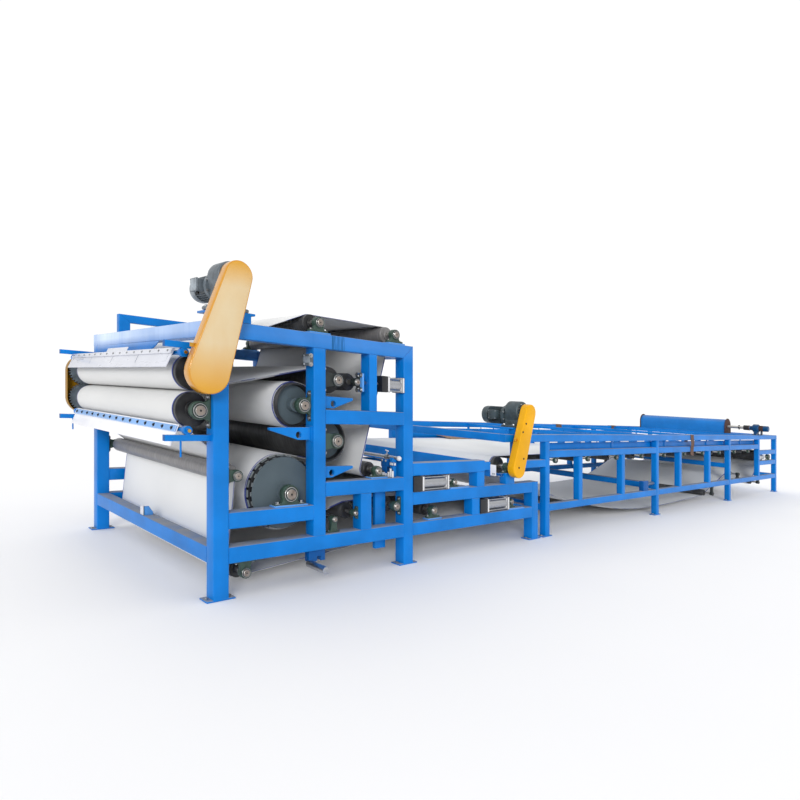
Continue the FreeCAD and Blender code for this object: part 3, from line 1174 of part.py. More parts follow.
def wash_pipe():
    """The wash pipe across the press, closed by a ball at each end, on a stand on each middle rail."""
    y0, y1 = outer_near, outer_far
    stand = PIPE_STAND_W / 2
    base = MID_RAIL_Z + half
    pieces = [round_y(PIPE_X, PIPE_Z, PIPE_R, y0, y1)]
    for end, seat in ((y0, near_y + PIPE_STAND_Y), (y1, far_y - PIPE_STAND_Y)):
        pieces.append(Part.makeSphere(PIPE_BALL_R, FreeCAD.Vector(PIPE_X, end, PIPE_Z)))
        pieces.append(box(PIPE_X - stand, PIPE_X + stand, seat - stand, seat + stand, base, PIPE_Z))
    return fuse(pieces)


def build_side_fittings():
    brackets = [pan_bracket(*spec, y) for spec in PAN_BRACKETS for y in side_ys]
    tails = [tail_cylinder(y) for y in table_ys]
    save("side_fittings", *(brackets + tails + [press_tracker(), table_tracker(), drain_chute()]))
    save("wash_pipe", wash_pipe())


os.makedirs("parts", exist_ok=True)
build_frames()
build_bearings()
build_rollers()
build_belts()
build_slides()
build_drives()
build_scrapers()
build_feed()
build_side_fittings()
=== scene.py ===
"""The looks of a belt filter press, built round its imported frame.

Every length is in metres, in the frame's own axes: X along the machine towards the feed end,
Y from the near side frame to the far one, Z up. Places are read from the frame's pieces.
"""
from __future__ import annotations

import json
import logging
import math
from dataclasses import dataclass, field
from enum import Enum
from functools import lru_cache
from typing import Any, Callable, Iterable, Sequence

import bmesh
import bpy
import numpy as np
from mathutils import Matrix, Vector, noise

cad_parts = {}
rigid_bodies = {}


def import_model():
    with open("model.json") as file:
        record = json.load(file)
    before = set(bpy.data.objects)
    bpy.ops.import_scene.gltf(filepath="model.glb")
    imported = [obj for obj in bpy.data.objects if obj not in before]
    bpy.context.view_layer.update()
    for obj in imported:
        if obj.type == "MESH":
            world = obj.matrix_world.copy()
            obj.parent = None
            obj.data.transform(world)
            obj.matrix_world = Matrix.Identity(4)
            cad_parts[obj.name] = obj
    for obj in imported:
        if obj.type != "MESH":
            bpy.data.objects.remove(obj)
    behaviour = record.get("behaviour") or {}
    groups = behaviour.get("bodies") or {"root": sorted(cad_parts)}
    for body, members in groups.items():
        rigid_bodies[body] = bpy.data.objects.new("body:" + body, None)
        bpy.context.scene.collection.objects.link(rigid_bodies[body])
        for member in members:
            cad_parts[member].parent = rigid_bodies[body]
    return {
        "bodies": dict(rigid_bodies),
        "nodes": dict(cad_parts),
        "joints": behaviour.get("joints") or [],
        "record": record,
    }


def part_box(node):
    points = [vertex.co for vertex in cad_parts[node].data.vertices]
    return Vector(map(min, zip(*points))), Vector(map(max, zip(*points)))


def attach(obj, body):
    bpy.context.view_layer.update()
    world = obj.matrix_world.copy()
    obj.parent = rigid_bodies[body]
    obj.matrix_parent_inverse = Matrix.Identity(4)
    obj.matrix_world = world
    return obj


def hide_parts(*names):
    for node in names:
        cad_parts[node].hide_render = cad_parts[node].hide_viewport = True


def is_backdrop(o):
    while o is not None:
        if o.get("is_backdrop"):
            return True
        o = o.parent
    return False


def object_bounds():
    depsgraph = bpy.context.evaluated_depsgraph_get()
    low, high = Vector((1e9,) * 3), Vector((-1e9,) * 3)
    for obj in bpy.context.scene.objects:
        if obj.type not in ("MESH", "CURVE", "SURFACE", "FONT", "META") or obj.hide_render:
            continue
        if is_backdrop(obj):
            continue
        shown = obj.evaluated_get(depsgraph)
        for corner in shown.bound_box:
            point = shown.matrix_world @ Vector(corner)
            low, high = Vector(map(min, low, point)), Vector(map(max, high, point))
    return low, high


LOG = logging.getLogger("belt_press")
FRAME = "frame"
UP = Vector((0.0, 0.0, 1.0))
ALONG = Vector((1.0, 0.0, 0.0))
ACROSS = Vector((0.0, 1.0, 0.0))
Colour = tuple[float, float, float, float]
Point = tuple[float, float]
SHARP = 0.5
CREASE = 34.0
CLOTH_CREASE = 60.0


def seen(red: int, green: int, blue: int) -> Colour:
    """A colour as a screen shows it, 0 to 255 a channel, as the linear colour of a shader."""
    def linear(value: int) -> float:
        """One channel, 0 to 1 and linear."""
        share = value / 255
        return share / 12.92 if share <= 0.04045 else ((share + 0.055) / 1.055) ** 2.4
    return (linear(red), linear(green), linear(blue), 1.0)


def spread(first: float, last: float, count: int) -> list[float]:
    """Evenly spaced values, both ends among them."""
    return [first + (last - first) * k / (count - 1) for k in range(count)]


def shade(colour: Colour, factor: float | Sequence[float], add: float = 0.0) -> Colour:
    """A colour with its channels scaled, all alike or each by its own factor, and then raised."""
    factors = factor if isinstance(factor, Sequence) else (factor,) * 3
    return tuple(c * k + add for c, k in zip(colour, factors)) + (1.0,)


# Node trees
class Nodes:
    """A node tree, with a short call that adds a node."""

    def __init__(self, tree: bpy.types.NodeTree) -> None:
        """Keep the tree."""
        self.tree = tree

    def node(self, kind: str, values: dict[Any, Any], **settings: Any) -> bpy.types.Node:
        """Add a node.

        Args:
            kind: The node's type name.
            values: A socket or a plain value for each input, by its name or number.
            settings: The node's own properties.

        Returns:
            The new node.
        """
        made = self.tree.nodes.new(kind)
        for name, setting in settings.items():
            setattr(made, name, setting)
        for key, value in values.items():
            self.put(made.inputs[key], value)
        return made

    def put(self, socket: bpy.types.NodeSocket, value: Any) -> None:
        """Link a socket to an input, or set the input to a plain value."""
        if isinstance(value, bpy.types.NodeSocket):
            self.tree.links.new(value, socket)
        else:
            socket.default_value = value


class PointTree(Nodes):
    """A geometry node tree that stands a shape on each point, its Z along the point's facing."""

    def __init__(self, name: str, inputs: dict[str, str]) -> None:
        """Start the tree.

        Args:
            name: The tree's name.
            inputs: The kind of each named input, apart from the points and their finish.
        """
        super().__init__(bpy.data.node_groups.new(name, "GeometryNodeTree"))
        for key, kind in {"Points": "Geometry", **inputs, "Finish": "Material"}.items():
            self.tree.interface.new_socket(name=key, in_out="INPUT", socket_type="NodeSocket" + kind)
        self.tree.interface.new_socket(name="Shapes", in_out="OUTPUT", socket_type="NodeSocketGeometry")
        self.given = self.node("NodeGroupInput", {})

    def read(self, name: str, kind: str) -> bpy.types.NodeSocket:
        """A named attribute of the points."""
        return self.node("GeometryNodeInputNamedAttribute", {"Name": name}, data_type=kind).outputs[0]

    def aligned(self) -> bpy.types.NodeSocket:
        """The turn that brings Z along each point's facing."""
        facing = {"Vector": self.read("facing", "FLOAT_VECTOR")}
        return self.node("FunctionNodeAlignRotationToVector", facing, axis="Z").outputs[0]

    def stand(self, shape: Any, turn: Any, scale: Any = 1.0) -> bpy.types.NodeTree:
        """Stand the shape on the points, make the copies real and paint them."""
        values = {"Points": self.given.outputs["Points"], "Instance": shape, "Rotation": turn}
        copies = self.node("GeometryNodeInstanceOnPoints", values)
        if isinstance(scale, bpy.types.NodeSocket):
            self.put(copies.inputs["Scale"], scale)
        whole = self.node("GeometryNodeRealizeInstances", {0: copies.outputs[0]})
        paint = {"Geometry": whole.outputs[0], "Material": self.given.outputs["Finish"]}
        painted = self.node("GeometryNodeSetMaterial", paint)
        self.node("NodeGroupOutput", {"Shapes": painted.outputs[0]})
        return self.tree


class Shader(Nodes):
    """A material's node tree, with short calls for the nodes that the finishes use."""

    def __init__(self, name: str) -> None:
        """Start a material with a principled shader on its output."""
        self.material = bpy.data.materials.new(name)
        self.material.use_nodes = True
        super().__init__(self.material.node_tree)
        self.tree.nodes.clear()
        self.base = self.node("ShaderNodeBsdfPrincipled", {})
        self.node("ShaderNodeOutputMaterial", {"Surface": self.base.outputs["BSDF"]})
        coordinate = self.node("ShaderNodeTexCoord", {})
        self.place = coordinate.outputs["Object"]
        self.cloth_place = coordinate.outputs["UV"]

    def noise(self, scale: float, detail: float = 2.0, stretch: Sequence[float] = (1, 1, 1),
              place: Any = None, rough: float = 0.5) -> bpy.types.NodeSocket:
        """Cloudy values from 0 to 1, this many waves to the metre."""
        vector = self.node("ShaderNodeMapping", {"Vector": place or self.place, "Scale": stretch})
        values = {"Vector": vector.outputs[0], "Scale": scale, "Detail": detail, "Roughness": rough}
        return self.node("ShaderNodeTexNoise", values).outputs[0]

    def math(self, operation: str, first: Any, second: Any) -> bpy.types.NodeSocket:
        """One step of arithmetic on values."""
        return self.node("ShaderNodeMath", {0: first, 1: second}, operation=operation).outputs[0]

    def times(self, *factors: Any) -> Any:
        """The product of values."""
        product = factors[0]
        for factor in factors[1:]:
            product = self.math("MULTIPLY", product, factor)
        return product

    def between(self, value: Any, low: float, high: float, to_low: float = 0.0,
                to_high: float = 1.0) -> bpy.types.NodeSocket:
        """A value between low and high, spread over another range and held at its ends."""
        values = {"Value": value, "From Min": low, "From Max": high, "To Min": to_low, "To Max": to_high}
        return self.node("ShaderNodeMapRange", values, clamp=True).outputs[0]

    def cloud(self, scale: float, detail: float, *limits: float, **kind: Any) -> bpy.types.NodeSocket:
        """Cloudy values, spread between limits as a value is; kind is what noise may be told."""
        return self.between(self.noise(scale, detail, **kind), *limits)

    def within(self, value: Any, low: float, high: float) -> bpy.types.NodeSocket:
        """1 where a value lies between low and high, else 0."""
        return self.times(self.math("GREATER_THAN", value, low), self.math("LESS_THAN", value, high))

    def mix(self, share: Any, first: Any, second: Any) -> bpy.types.NodeSocket:
        """A colour between two, by share."""
        return self.node("ShaderNodeMix", {0: share, 6: first, 7: second}, data_type="RGBA").outputs[2]

    def split(self, vector: Any) -> tuple[bpy.types.NodeSocket, ...]:
        """The three parts of a vector."""
        return tuple(self.node("ShaderNodeSeparateXYZ", {0: vector}).outputs)

    def facing(self) -> bpy.types.NodeSocket:
        """The outward direction of the face."""
        return self.node("ShaderNodeNewGeometry", {}).outputs["Normal"]

    def rubbed(self, radius: float, *limits: float) -> bpy.types.NodeSocket:
        """How far a surface is from flat within a radius, spread between limits: 0 on faces."""
        soft = self.node("ShaderNodeBevel", {"Radius": radius}, samples=4).outputs[0]
        dot = self.node("ShaderNodeVectorMath", {0: soft, 1: self.facing()}, operation="DOT_PRODUCT")
        return self.between(self.math("SUBTRACT", 1.0, dot.outputs["Value"]), *limits)

    def bump(self, height: Any, depth: float, after: Any = None) -> bpy.types.NodeSocket:
        """A bumped normal, depth in metres."""
        values = {"Strength": 1.0, "Distance": depth, "Height": height}
        if after is not None:
            values["Normal"] = after
        return self.node("ShaderNodeBump", values).outputs[0]

    def finish(self, colour: Any, roughness: Any, normal: Any = None, **sockets: Any) -> bpy.types.Material:
        """Set the shader's inputs and hand over the material."""
        self.put(self.base.inputs["Base Color"], colour)
        self.put(self.base.inputs["Roughness"], roughness)
        if normal is not None:
            self.put(self.base.inputs["Normal"], normal)
        for name, value in sockets.items():
            self.base.inputs[name.replace("_", " ").title().replace("Ior", "IOR")].default_value = value
        return self.material


# Finishes
@dataclass(frozen=True)
class Finish:
    """A surface finish, made into a material once."""

    name: str
    slot: str
    colour: Colour

    def material(self) -> bpy.types.Material:
        """The finish's material."""
        return material_of(self)

    def dress(self, shader: Shader) -> bpy.types.Material:
        """Build the finish's nodes."""
        return shader.finish(self.colour, 0.5)


@lru_cache(maxsize=None)
def material_of(finish: Finish) -> bpy.types.Material:
    """The one material of a finish."""
    return finish.dress(Shader(finish.name))


@dataclass(frozen=True)
class Enamel(Finish):
    """Sprayed gloss paint on steel, with dust on its upper faces and pale edges that are partly thin, worn
    paint and partly a painted highlight.

    Where the glare share is set, a painted highlight pales the paint on the front tube, and the paint is
    mended on the near top rail.
    """

    gloss: float = 0.34
    dust: float = 0.94
    dust_colour: Colour = seen(150, 149, 146)
    # strength of the pale edges: worn paint, and a painted highlight along the rounded edges
    wear_and_highlight: float = 0.25
    # share and colour of the painted highlight that pales the front tube
    front_glare: float = 0.0
    front_glare_colour: Colour = seen(214, 230, 252)
    front_x: Point = (0.09, 0.04)
    front_y: Point = (0.0, 2.6)
    front_low: Point = (2.18, 2.30)
    front_top: Point = (2.372, 2.366)
    repair_x: Point = (1.145, 1.303)
    repair_y: float = -0.05
    repair_z: float = 2.225
    repair_colour: Colour = seen(14, 84, 136)

    def with_front_glare_and_repair(self, shader: Shader, tone: Any) -> bpy.types.NodeSocket:
        """A tone with the painted highlight on the front tube and the repair's brush strokes."""
        x, y, z = shader.split(shader.place)
        # painted highlight: the front tube's upper part is paled, more so towards the far side
        front = shader.between(x, *self.front_x, 0.14, 1.0)
        along = shader.between(y, *self.front_y, 0.5, 1.0)
        high = shader.times(shader.between(z, *self.front_low), shader.between(z, *self.front_top))
        uneven = shader.cloud(1.7, 3.0, 0.3, 0.7, 0.75, 1.15)
        tone = shader.mix(shader.times(front, along, high, uneven, self.front_glare), tone, self.front_glare_colour)
        inside = shader.times(shader.within(x, *self.repair_x), shader.math("GREATER_THAN", z, self.repair_z),
                              shader.math("LESS_THAN", y, self.repair_y))
        strokes = shader.cloud(60.0, 2.0, 0.4, 0.6, 0.2, 0.9, stretch=(1.0, 1.0, 0.06))
        return shader.mix(shader.times(inside, strokes), tone, self.repair_colour)

    def dress(self, shader: Shader) -> bpy.types.Material:
        """Two close tones in clouds, runs down the uprights, dust, pale edges of worn paint and painted
        highlight, and a sprayed skin.
        """
        dark, pale = shade(self.colour, 0.74), shade(self.colour, 0.70, 0.255)
        tone = shader.mix(shader.cloud(2.3, 4.0, 0.35, 0.75), self.colour, dark)
        # painted highlight on the front tube
        if self.front_glare:
            tone = self.with_front_glare_and_repair(shader, tone)
        runs = shader.cloud(9.0, 3.0, 0.56, 0.82, 0.0, 0.30, stretch=(1.0, 1.0, 0.07))
        tone = shader.mix(runs, tone, dark)
        # pale edges: worn paint, and a painted highlight where the edges round off
        worn = shader.times(shader.rubbed(0.006, 0.02, 0.22), shader.cloud(17.0, 5.0, 0.42, 0.66), self.wear_and_highlight)
        tone = shader.mix(worn, tone, pale)
        speck = shader.cloud(55.0, 3.0, 0.68, 0.74, rough=0.7)
        tone = shader.mix(shader.times(speck, shader.cloud(3.1, 2.0, 0.5, 0.7), 0.5), tone, pale)
        level = shader.between(shader.split(shader.facing())[2], 0.55, 0.98)
        lying = shader.times(level, shader.cloud(6.0, 5.0, 0.25, 0.7, 0.55, 1.0), self.dust)
        tone = shader.mix(lying, tone, self.dust_colour)
        rough = shader.between(lying, 0.0, 0.6, self.gloss, 0.85)
        skin = shader.bump(shader.noise(140.0, 2.0), 0.00012)
        wave = shader.bump(shader.noise(7.0, 1.0), 0.0016, skin)
        return shader.finish(tone, rough, wave, specular_ior_level=0.22)


@dataclass(frozen=True)
class GuardSheet(Finish):
    """Guard paint, paled to sand over the middle of its flat face by a painted highlight, deeper at its rim,
    and darker on its sides as painted shade.
    """

    sand: Colour = seen(210, 190, 152)
    chips: Colour = seen(120, 96, 60)
    deeper: tuple[float, float, float] = (0.86, 0.74, 0.6)
    low: Point = (1.78, 2.16)
    high: Point = (2.86, 2.64)
    gloss: float = 0.24

    def dress(self, shader: Shader) -> bpy.types.Material:
        """The painted highlight on the flat face fades between two heights; the sides take painted shade;
        scratches and chips follow the rim.
        """
        height = shader.split(shader.place)[2]
        flat = shader.between(shader.split(shader.facing())[1], -0.97, -0.999)
        # painted highlight: the flat front face is paled to sand in a band of heights
        share = shader.times(shader.between(height, *self.low), shader.between(height, *self.high),
                             shader.cloud(2.2, 4.0, 0.25, 0.7, 0.72, 1.0), flat)
        deep = shade(self.colour, self.deeper)
        rim = shader.rubbed(0.010, 0.02, 0.20)
        # painted shade: the side faces turn to the deeper tone
        side = shader.times(shader.math("SUBTRACT", 1.0, flat), 0.75)
        tone = shader.mix(shader.math("MAXIMUM", shader.times(rim, 0.7), side), self.colour, deep)
        tone = shader.mix(share, tone, self.sand)
        chip = shader.cloud(38.0, 5.0, 0.66, 0.72, 0.0, 0.55, rough=0.7)
        tone = shader.mix(shader.times(chip, rim), tone, self.chips)
        smear = shader.cloud(5.0, 6.0, 0.55, 0.8, 0.0, 0.18, stretch=(1.0, 1.0, 0.2))
        wave = shader.bump(shader.noise(4.0, 1.0), 0.0012)
        return shader.finish(shader.mix(smear, tone, deep), self.gloss, wave, coat_weight=0.3,
                             coat_roughness=0.08)


@dataclass(frozen=True)
class FilterCloth(Finish):
    """Woven filter belt: pale, with a twill line and a dark band sewn along each edge."""

    width: float = 2.78
    band: Colour = seen(20, 52, 150)
    band_width: float = 0.014
    twill_pitch: float = 0.024
    damp_x: Point = (0.02, -0.06)
    damp_colour: Colour = seen(152, 152, 150)
    grime_width: float = 0.16
    grime_colour: Colour = seen(150, 146, 140)

    def dress(self, shader: Shader) -> bpy.types.Material:
        """Bands and twill follow the cloth's own map, in metres; the nip's end is damp and greyer."""
        cloth = shader.cloth_place
        along, across, _ = shader.split(cloth)
        inset = shader.math("MINIMUM", across, shader.math("SUBTRACT", self.width, across))
        inset = shader.math("ADD", inset, shader.cloud(1.4, 1.0, 0.2, 0.8, -0.003, 0.003, place=cloth))
        band = shader.within(inset, 0.0, self.band_width)
        twill = shader.math("PINGPONG", shader.math("ADD", along, across), self.twill_pitch / 2)
        line = shader.between(twill, 0.0, self.twill_pitch / 2)
        cloud = shader.cloud(1.1, 4.0, 0.3, 0.75, place=cloth)
        soiled = shade(self.colour, (0.86, 0.87, 0.88))
        tone = shader.mix(shader.times(cloud, 0.5), self.colour, soiled)
        tone = shader.mix(shader.times(line, 0.42), tone, soiled)
        damp = shader.between(shader.split(shader.place)[0], *self.damp_x, 0.0, 0.30)
        tone = shader.mix(damp, tone, self.damp_colour)
        thread = shader.noise(420.0, 1.0, (1.0, 0.25, 1.0), cloth)
        tone = shader.mix(shader.between(thread, 0.4, 0.7, 0.0, 0.06), tone, soiled)
        grime = shader.times(shader.between(inset, 0.0, self.grime_width, 0.22, 0.0), cloud)
        tone = shader.mix(grime, tone, self.grime_colour)
        tone = shader.mix(shader.times(band, 0.94), tone, self.band)
        fine = shader.bump(thread, 0.0003, shader.bump(line, 0.0004))
        return shader.finish(tone, 0.62, fine, sheen_weight=0.12)


@dataclass(frozen=True)
class Rubber(Finish):
    """Roller covering: dark, dull, scuffed paler in bands round the roller."""

    scuff: float = 0.35
    gloss: float = 0.5

    def dress(self, shader: Shader) -> bpy.types.Material:
        """Scuffs are stretched round the roller, so they are thin along Y."""
        pale = shade(self.colour, 1.0, 0.10)
        rings = shader.cloud(7.0, 5.0, 0.45, 0.8, 0.0, self.scuff, stretch=(1.0, 9.0, 1.0))
        blotch = shader.noise(5.0, 3.0)
        tone = shader.mix(rings, self.colour, pale)
        tone = shader.mix(shader.between(blotch, 0.5, 0.8, 0.0, self.scuff), tone, pale)
        rough = shader.between(blotch, 0.3, 0.7, self.gloss - 0.08, self.gloss + 0.14)
        return shader.finish(tone, rough, shader.bump(shader.noise(160.0, 3.0), 0.0003))


@dataclass(frozen=True)
class Metal(Finish):
    """Bare or plated metal, turned or drawn, with a little tarnish."""

    rough: float = 0.3
    tarnish: float = 0.25
    tarnish_colour: Colour = seen(96, 78, 64)

    def dress(self, shader: Shader) -> bpy.types.Material:
        """Fine lines across Y, a clouded tarnish and slightly uneven gloss."""
        stain = shader.cloud(16.0, 4.0, 0.5, 0.74, 0.0, self.tarnish)
        lines = shader.noise(60.0, 2.0, (1.0, 14.0, 1.0))
        rough = shader.between(lines, 0.3, 0.7, self.rough * 0.8, self.rough * 1.3)
        tone = shader.mix(stain, self.colour, self.tarnish_colour)
        return shader.finish(tone, rough, shader.bump(lines, 0.00008), metallic=1.0)


@dataclass(frozen=True)
class Casting(Finish):
    """Painted cast iron: sandy skin, grimy clouds and dull edges."""

    gloss: float = 0.5

    def dress(self, shader: Shader) -> bpy.types.Material:
        """A grainy bump, grease clouds and rubbed edges."""
        tone = shader.mix(shader.cloud(14.0, 5.0, 0.4, 0.75), self.colour, shade(self.colour, 0.45))
        tone = shader.mix(shader.rubbed(0.004, 0.03, 0.25, 0.0, 0.5), tone, shade(self.colour, 1.0, 0.12))
        return shader.finish(tone, self.gloss, shader.bump(shader.noise(240.0, 3.0), 0.0005))


@dataclass(frozen=True)
class Plastic(Finish):
    """Sheet plastic or moulding with faint cloudiness and fine scratches."""

    gloss: float = 0.4

    def dress(self, shader: Shader) -> bpy.types.Material:
        """Clouds in the colour and scratches in the gloss."""
        cloud = shader.cloud(4.0, 3.0, 0.35, 0.75, 0.0, 0.6)
        scratch = shader.noise(24.0, 6.0, (1.0, 0.12, 1.0))
        rough = shader.between(scratch, 0.35, 0.7, self.gloss - 0.06, self.gloss + 0.18)
        tone = shader.mix(cloud, self.colour, shade(self.colour, 0.86))
        return shader.finish(tone, rough, shader.bump(scratch, 0.0002))


@dataclass(frozen=True)
class Rusted(Finish):
    """Weathered brown steel or wood, patchy and matt."""

    def dress(self, shader: Shader) -> bpy.types.Material:
        """Two browns in crusty patches with a rough skin."""
        patch = shader.noise(26.0, 7.0, rough=0.65)
        tone = shader.mix(shader.between(patch, 0.38, 0.68), self.colour, shade(self.colour, 1.7))
        return shader.finish(tone, 0.82, shader.bump(patch, 0.0012))


# the frame's blue carries the painted highlight on the front tube
FRAME_BLUE = Enamel("frame_blue_enamel", "frame_blue", seen(1, 120, 206), front_glare=0.9)
DULL_BLUE = Enamel("dull_blue_enamel", "frame_blue", seen(4, 86, 158), gloss=0.45, wear_and_highlight=0.4)
PALE_BLUE = Enamel("pale_blue_enamel", "frame_blue", seen(84, 152, 226), gloss=0.36, wear_and_highlight=0.5)
GUARD_ORANGE = GuardSheet("guard_orange_paint", "guard_yellow", seen(206, 150, 30))
GUARD_YELLOW = Enamel("guard_yellow_enamel", "guard_yellow", seen(234, 170, 3), gloss=0.36, dust=0.0,
                      wear_and_highlight=0.3)
GUARD_BROWN = Enamel("guard_brown_enamel", "guard_yellow", seen(150, 108, 14), gloss=0.4, dust=0.0, wear_and_highlight=0.3)
LUG_BRASS = Metal("guard_lug", "guard_yellow", seen(214, 164, 70), rough=0.35, tarnish=0.2)
MOTOR_GREY = Casting("motor_grey_paint", "motor_grey", seen(98, 108, 116), gloss=0.42)
COWL_GREY = Casting("cowl_grey_paint", "motor_grey", seen(146, 156, 164), gloss=0.36)
BOX_GREY = Casting("terminal_box_paint", "motor_grey", seen(150, 160, 168), gloss=0.4)
DARK_MOTOR = Casting("dark_motor_paint", "motor_grey", seen(62, 76, 82), gloss=0.42)
CLOTH = FilterCloth("filter_cloth", "belt_cloth", seen(234, 234, 233))
SOILED_CLOTH = FilterCloth("table_cloth", "belt_cloth", seen(224, 225, 225))
ROLLER_RUBBER = Rubber("roller_rubber", "rubber_black", seen(24, 25, 28))
BARREL_RUBBER = Rubber("scuffed_roller_rubber", "rubber_black", seen(52, 53, 55), scuff=0.6)
TUBE_STEEL = Rubber("worn_roller_tube", "drum_grey", seen(112, 110, 110), scuff=0.9, gloss=0.36)
DISC_GREY = Enamel("disc_grey_enamel", "drum_grey", seen(84, 97, 104), gloss=0.5, dust=0.0, wear_and_highlight=0.2)
SLAT_GREY = Enamel("slat_grey_enamel", "drum_grey", seen(128, 136, 138), gloss=0.5, dust=0.0, wear_and_highlight=0.4)
BEARING_GREEN = Casting("bearing_green_paint", "bearing_green", seen(52, 76, 66))
BEARING_DARK = Casting("bearing_dark_paint", "bearing_green", seen(34, 42, 42))
SEAL_BLACK = Rubber("bearing_seal", "rubber_black", seen(16, 16, 18), scuff=0.15)
RACE_STEEL = Metal("bearing_race", "cylinder_alloy", seen(168, 170, 170), rough=0.3, tarnish=0.3)
SHAFT_STEEL = Metal("shaft_steel", "cylinder_alloy", seen(196, 194, 190), rough=0.3, tarnish=0.3)
SHAFT_BROWN = Metal("shaft_end_steel", "cylinder_alloy", seen(158, 148, 140), rough=0.45, tarnish=0.5)
BOLT_STEEL = Metal("plated_bolts", "cylinder_alloy", seen(176, 178, 180), rough=0.32, tarnish=0.35)
DARK_BOLT = Metal("dark_bolts", "rubber_black", seen(60, 62, 70), rough=0.4, tarnish=0.3)
CYLINDER_ALLOY = Metal("cylinder_tube", "cylinder_alloy", seen(176, 178, 182), rough=0.3, tarnish=0.1)
CYLINDER_CAP = Plastic("cylinder_cap_white", "blade_white", seen(214, 214, 216), gloss=0.34)
CYLINDER_BASE = Casting("cylinder_base_black", "rubber_black", seen(28, 29, 33), gloss=0.4)
BLADE_WHITE = Plastic("blade_sheet", "blade_white", seen(238, 238, 242))
BLADE_METAL = Plastic("galvanised_plate", "blade_white", seen(206, 208, 216), gloss=0.3)
FLANGE_BROWN = Rusted("weathered_flange", "flange_brown", seen(62, 40, 34))
WORN_BOARD = Rusted("worn_board", "flange_brown", seen(128, 104, 84))
WEBBING = Rusted("brown_webbing", "flange_brown", seen(84, 62, 52))
BAR_BLUE = Enamel("scraper_bar_blue", "frame_blue", seen(132, 176, 230), gloss=0.36, wear_and_highlight=0.5)
DRIVE_BLUE = Enamel("feed_drive_blue", "frame_blue", seen(6, 66, 112), gloss=0.3, dust=0.3, wear_and_highlight=0.4)
BOX_BLUE = Enamel("feed_box_blue", "frame_blue", seen(26, 120, 200), gloss=0.4, dust=0.3, wear_and_highlight=0.5)


# Meshes
@dataclass(frozen=True)
class Axis:
    """A level axis across the machine."""

    x: float
    z: float

    def at(self, y: float) -> Vector:
        """The axis's point at y."""
        return Vector((self.x, y, self.z))


@dataclass(frozen=True)
class Extent:
    """Lowest and highest corner of a piece."""

    lo: Vector
    hi: Vector

    @property
    def centre(self) -> Vector:
        """The middle."""
        return (self.lo + self.hi) / 2

    @property
    def size(self) -> Vector:
        """The three sides."""
        return self.hi - self.lo


Ring = tuple[float, float, Finish]


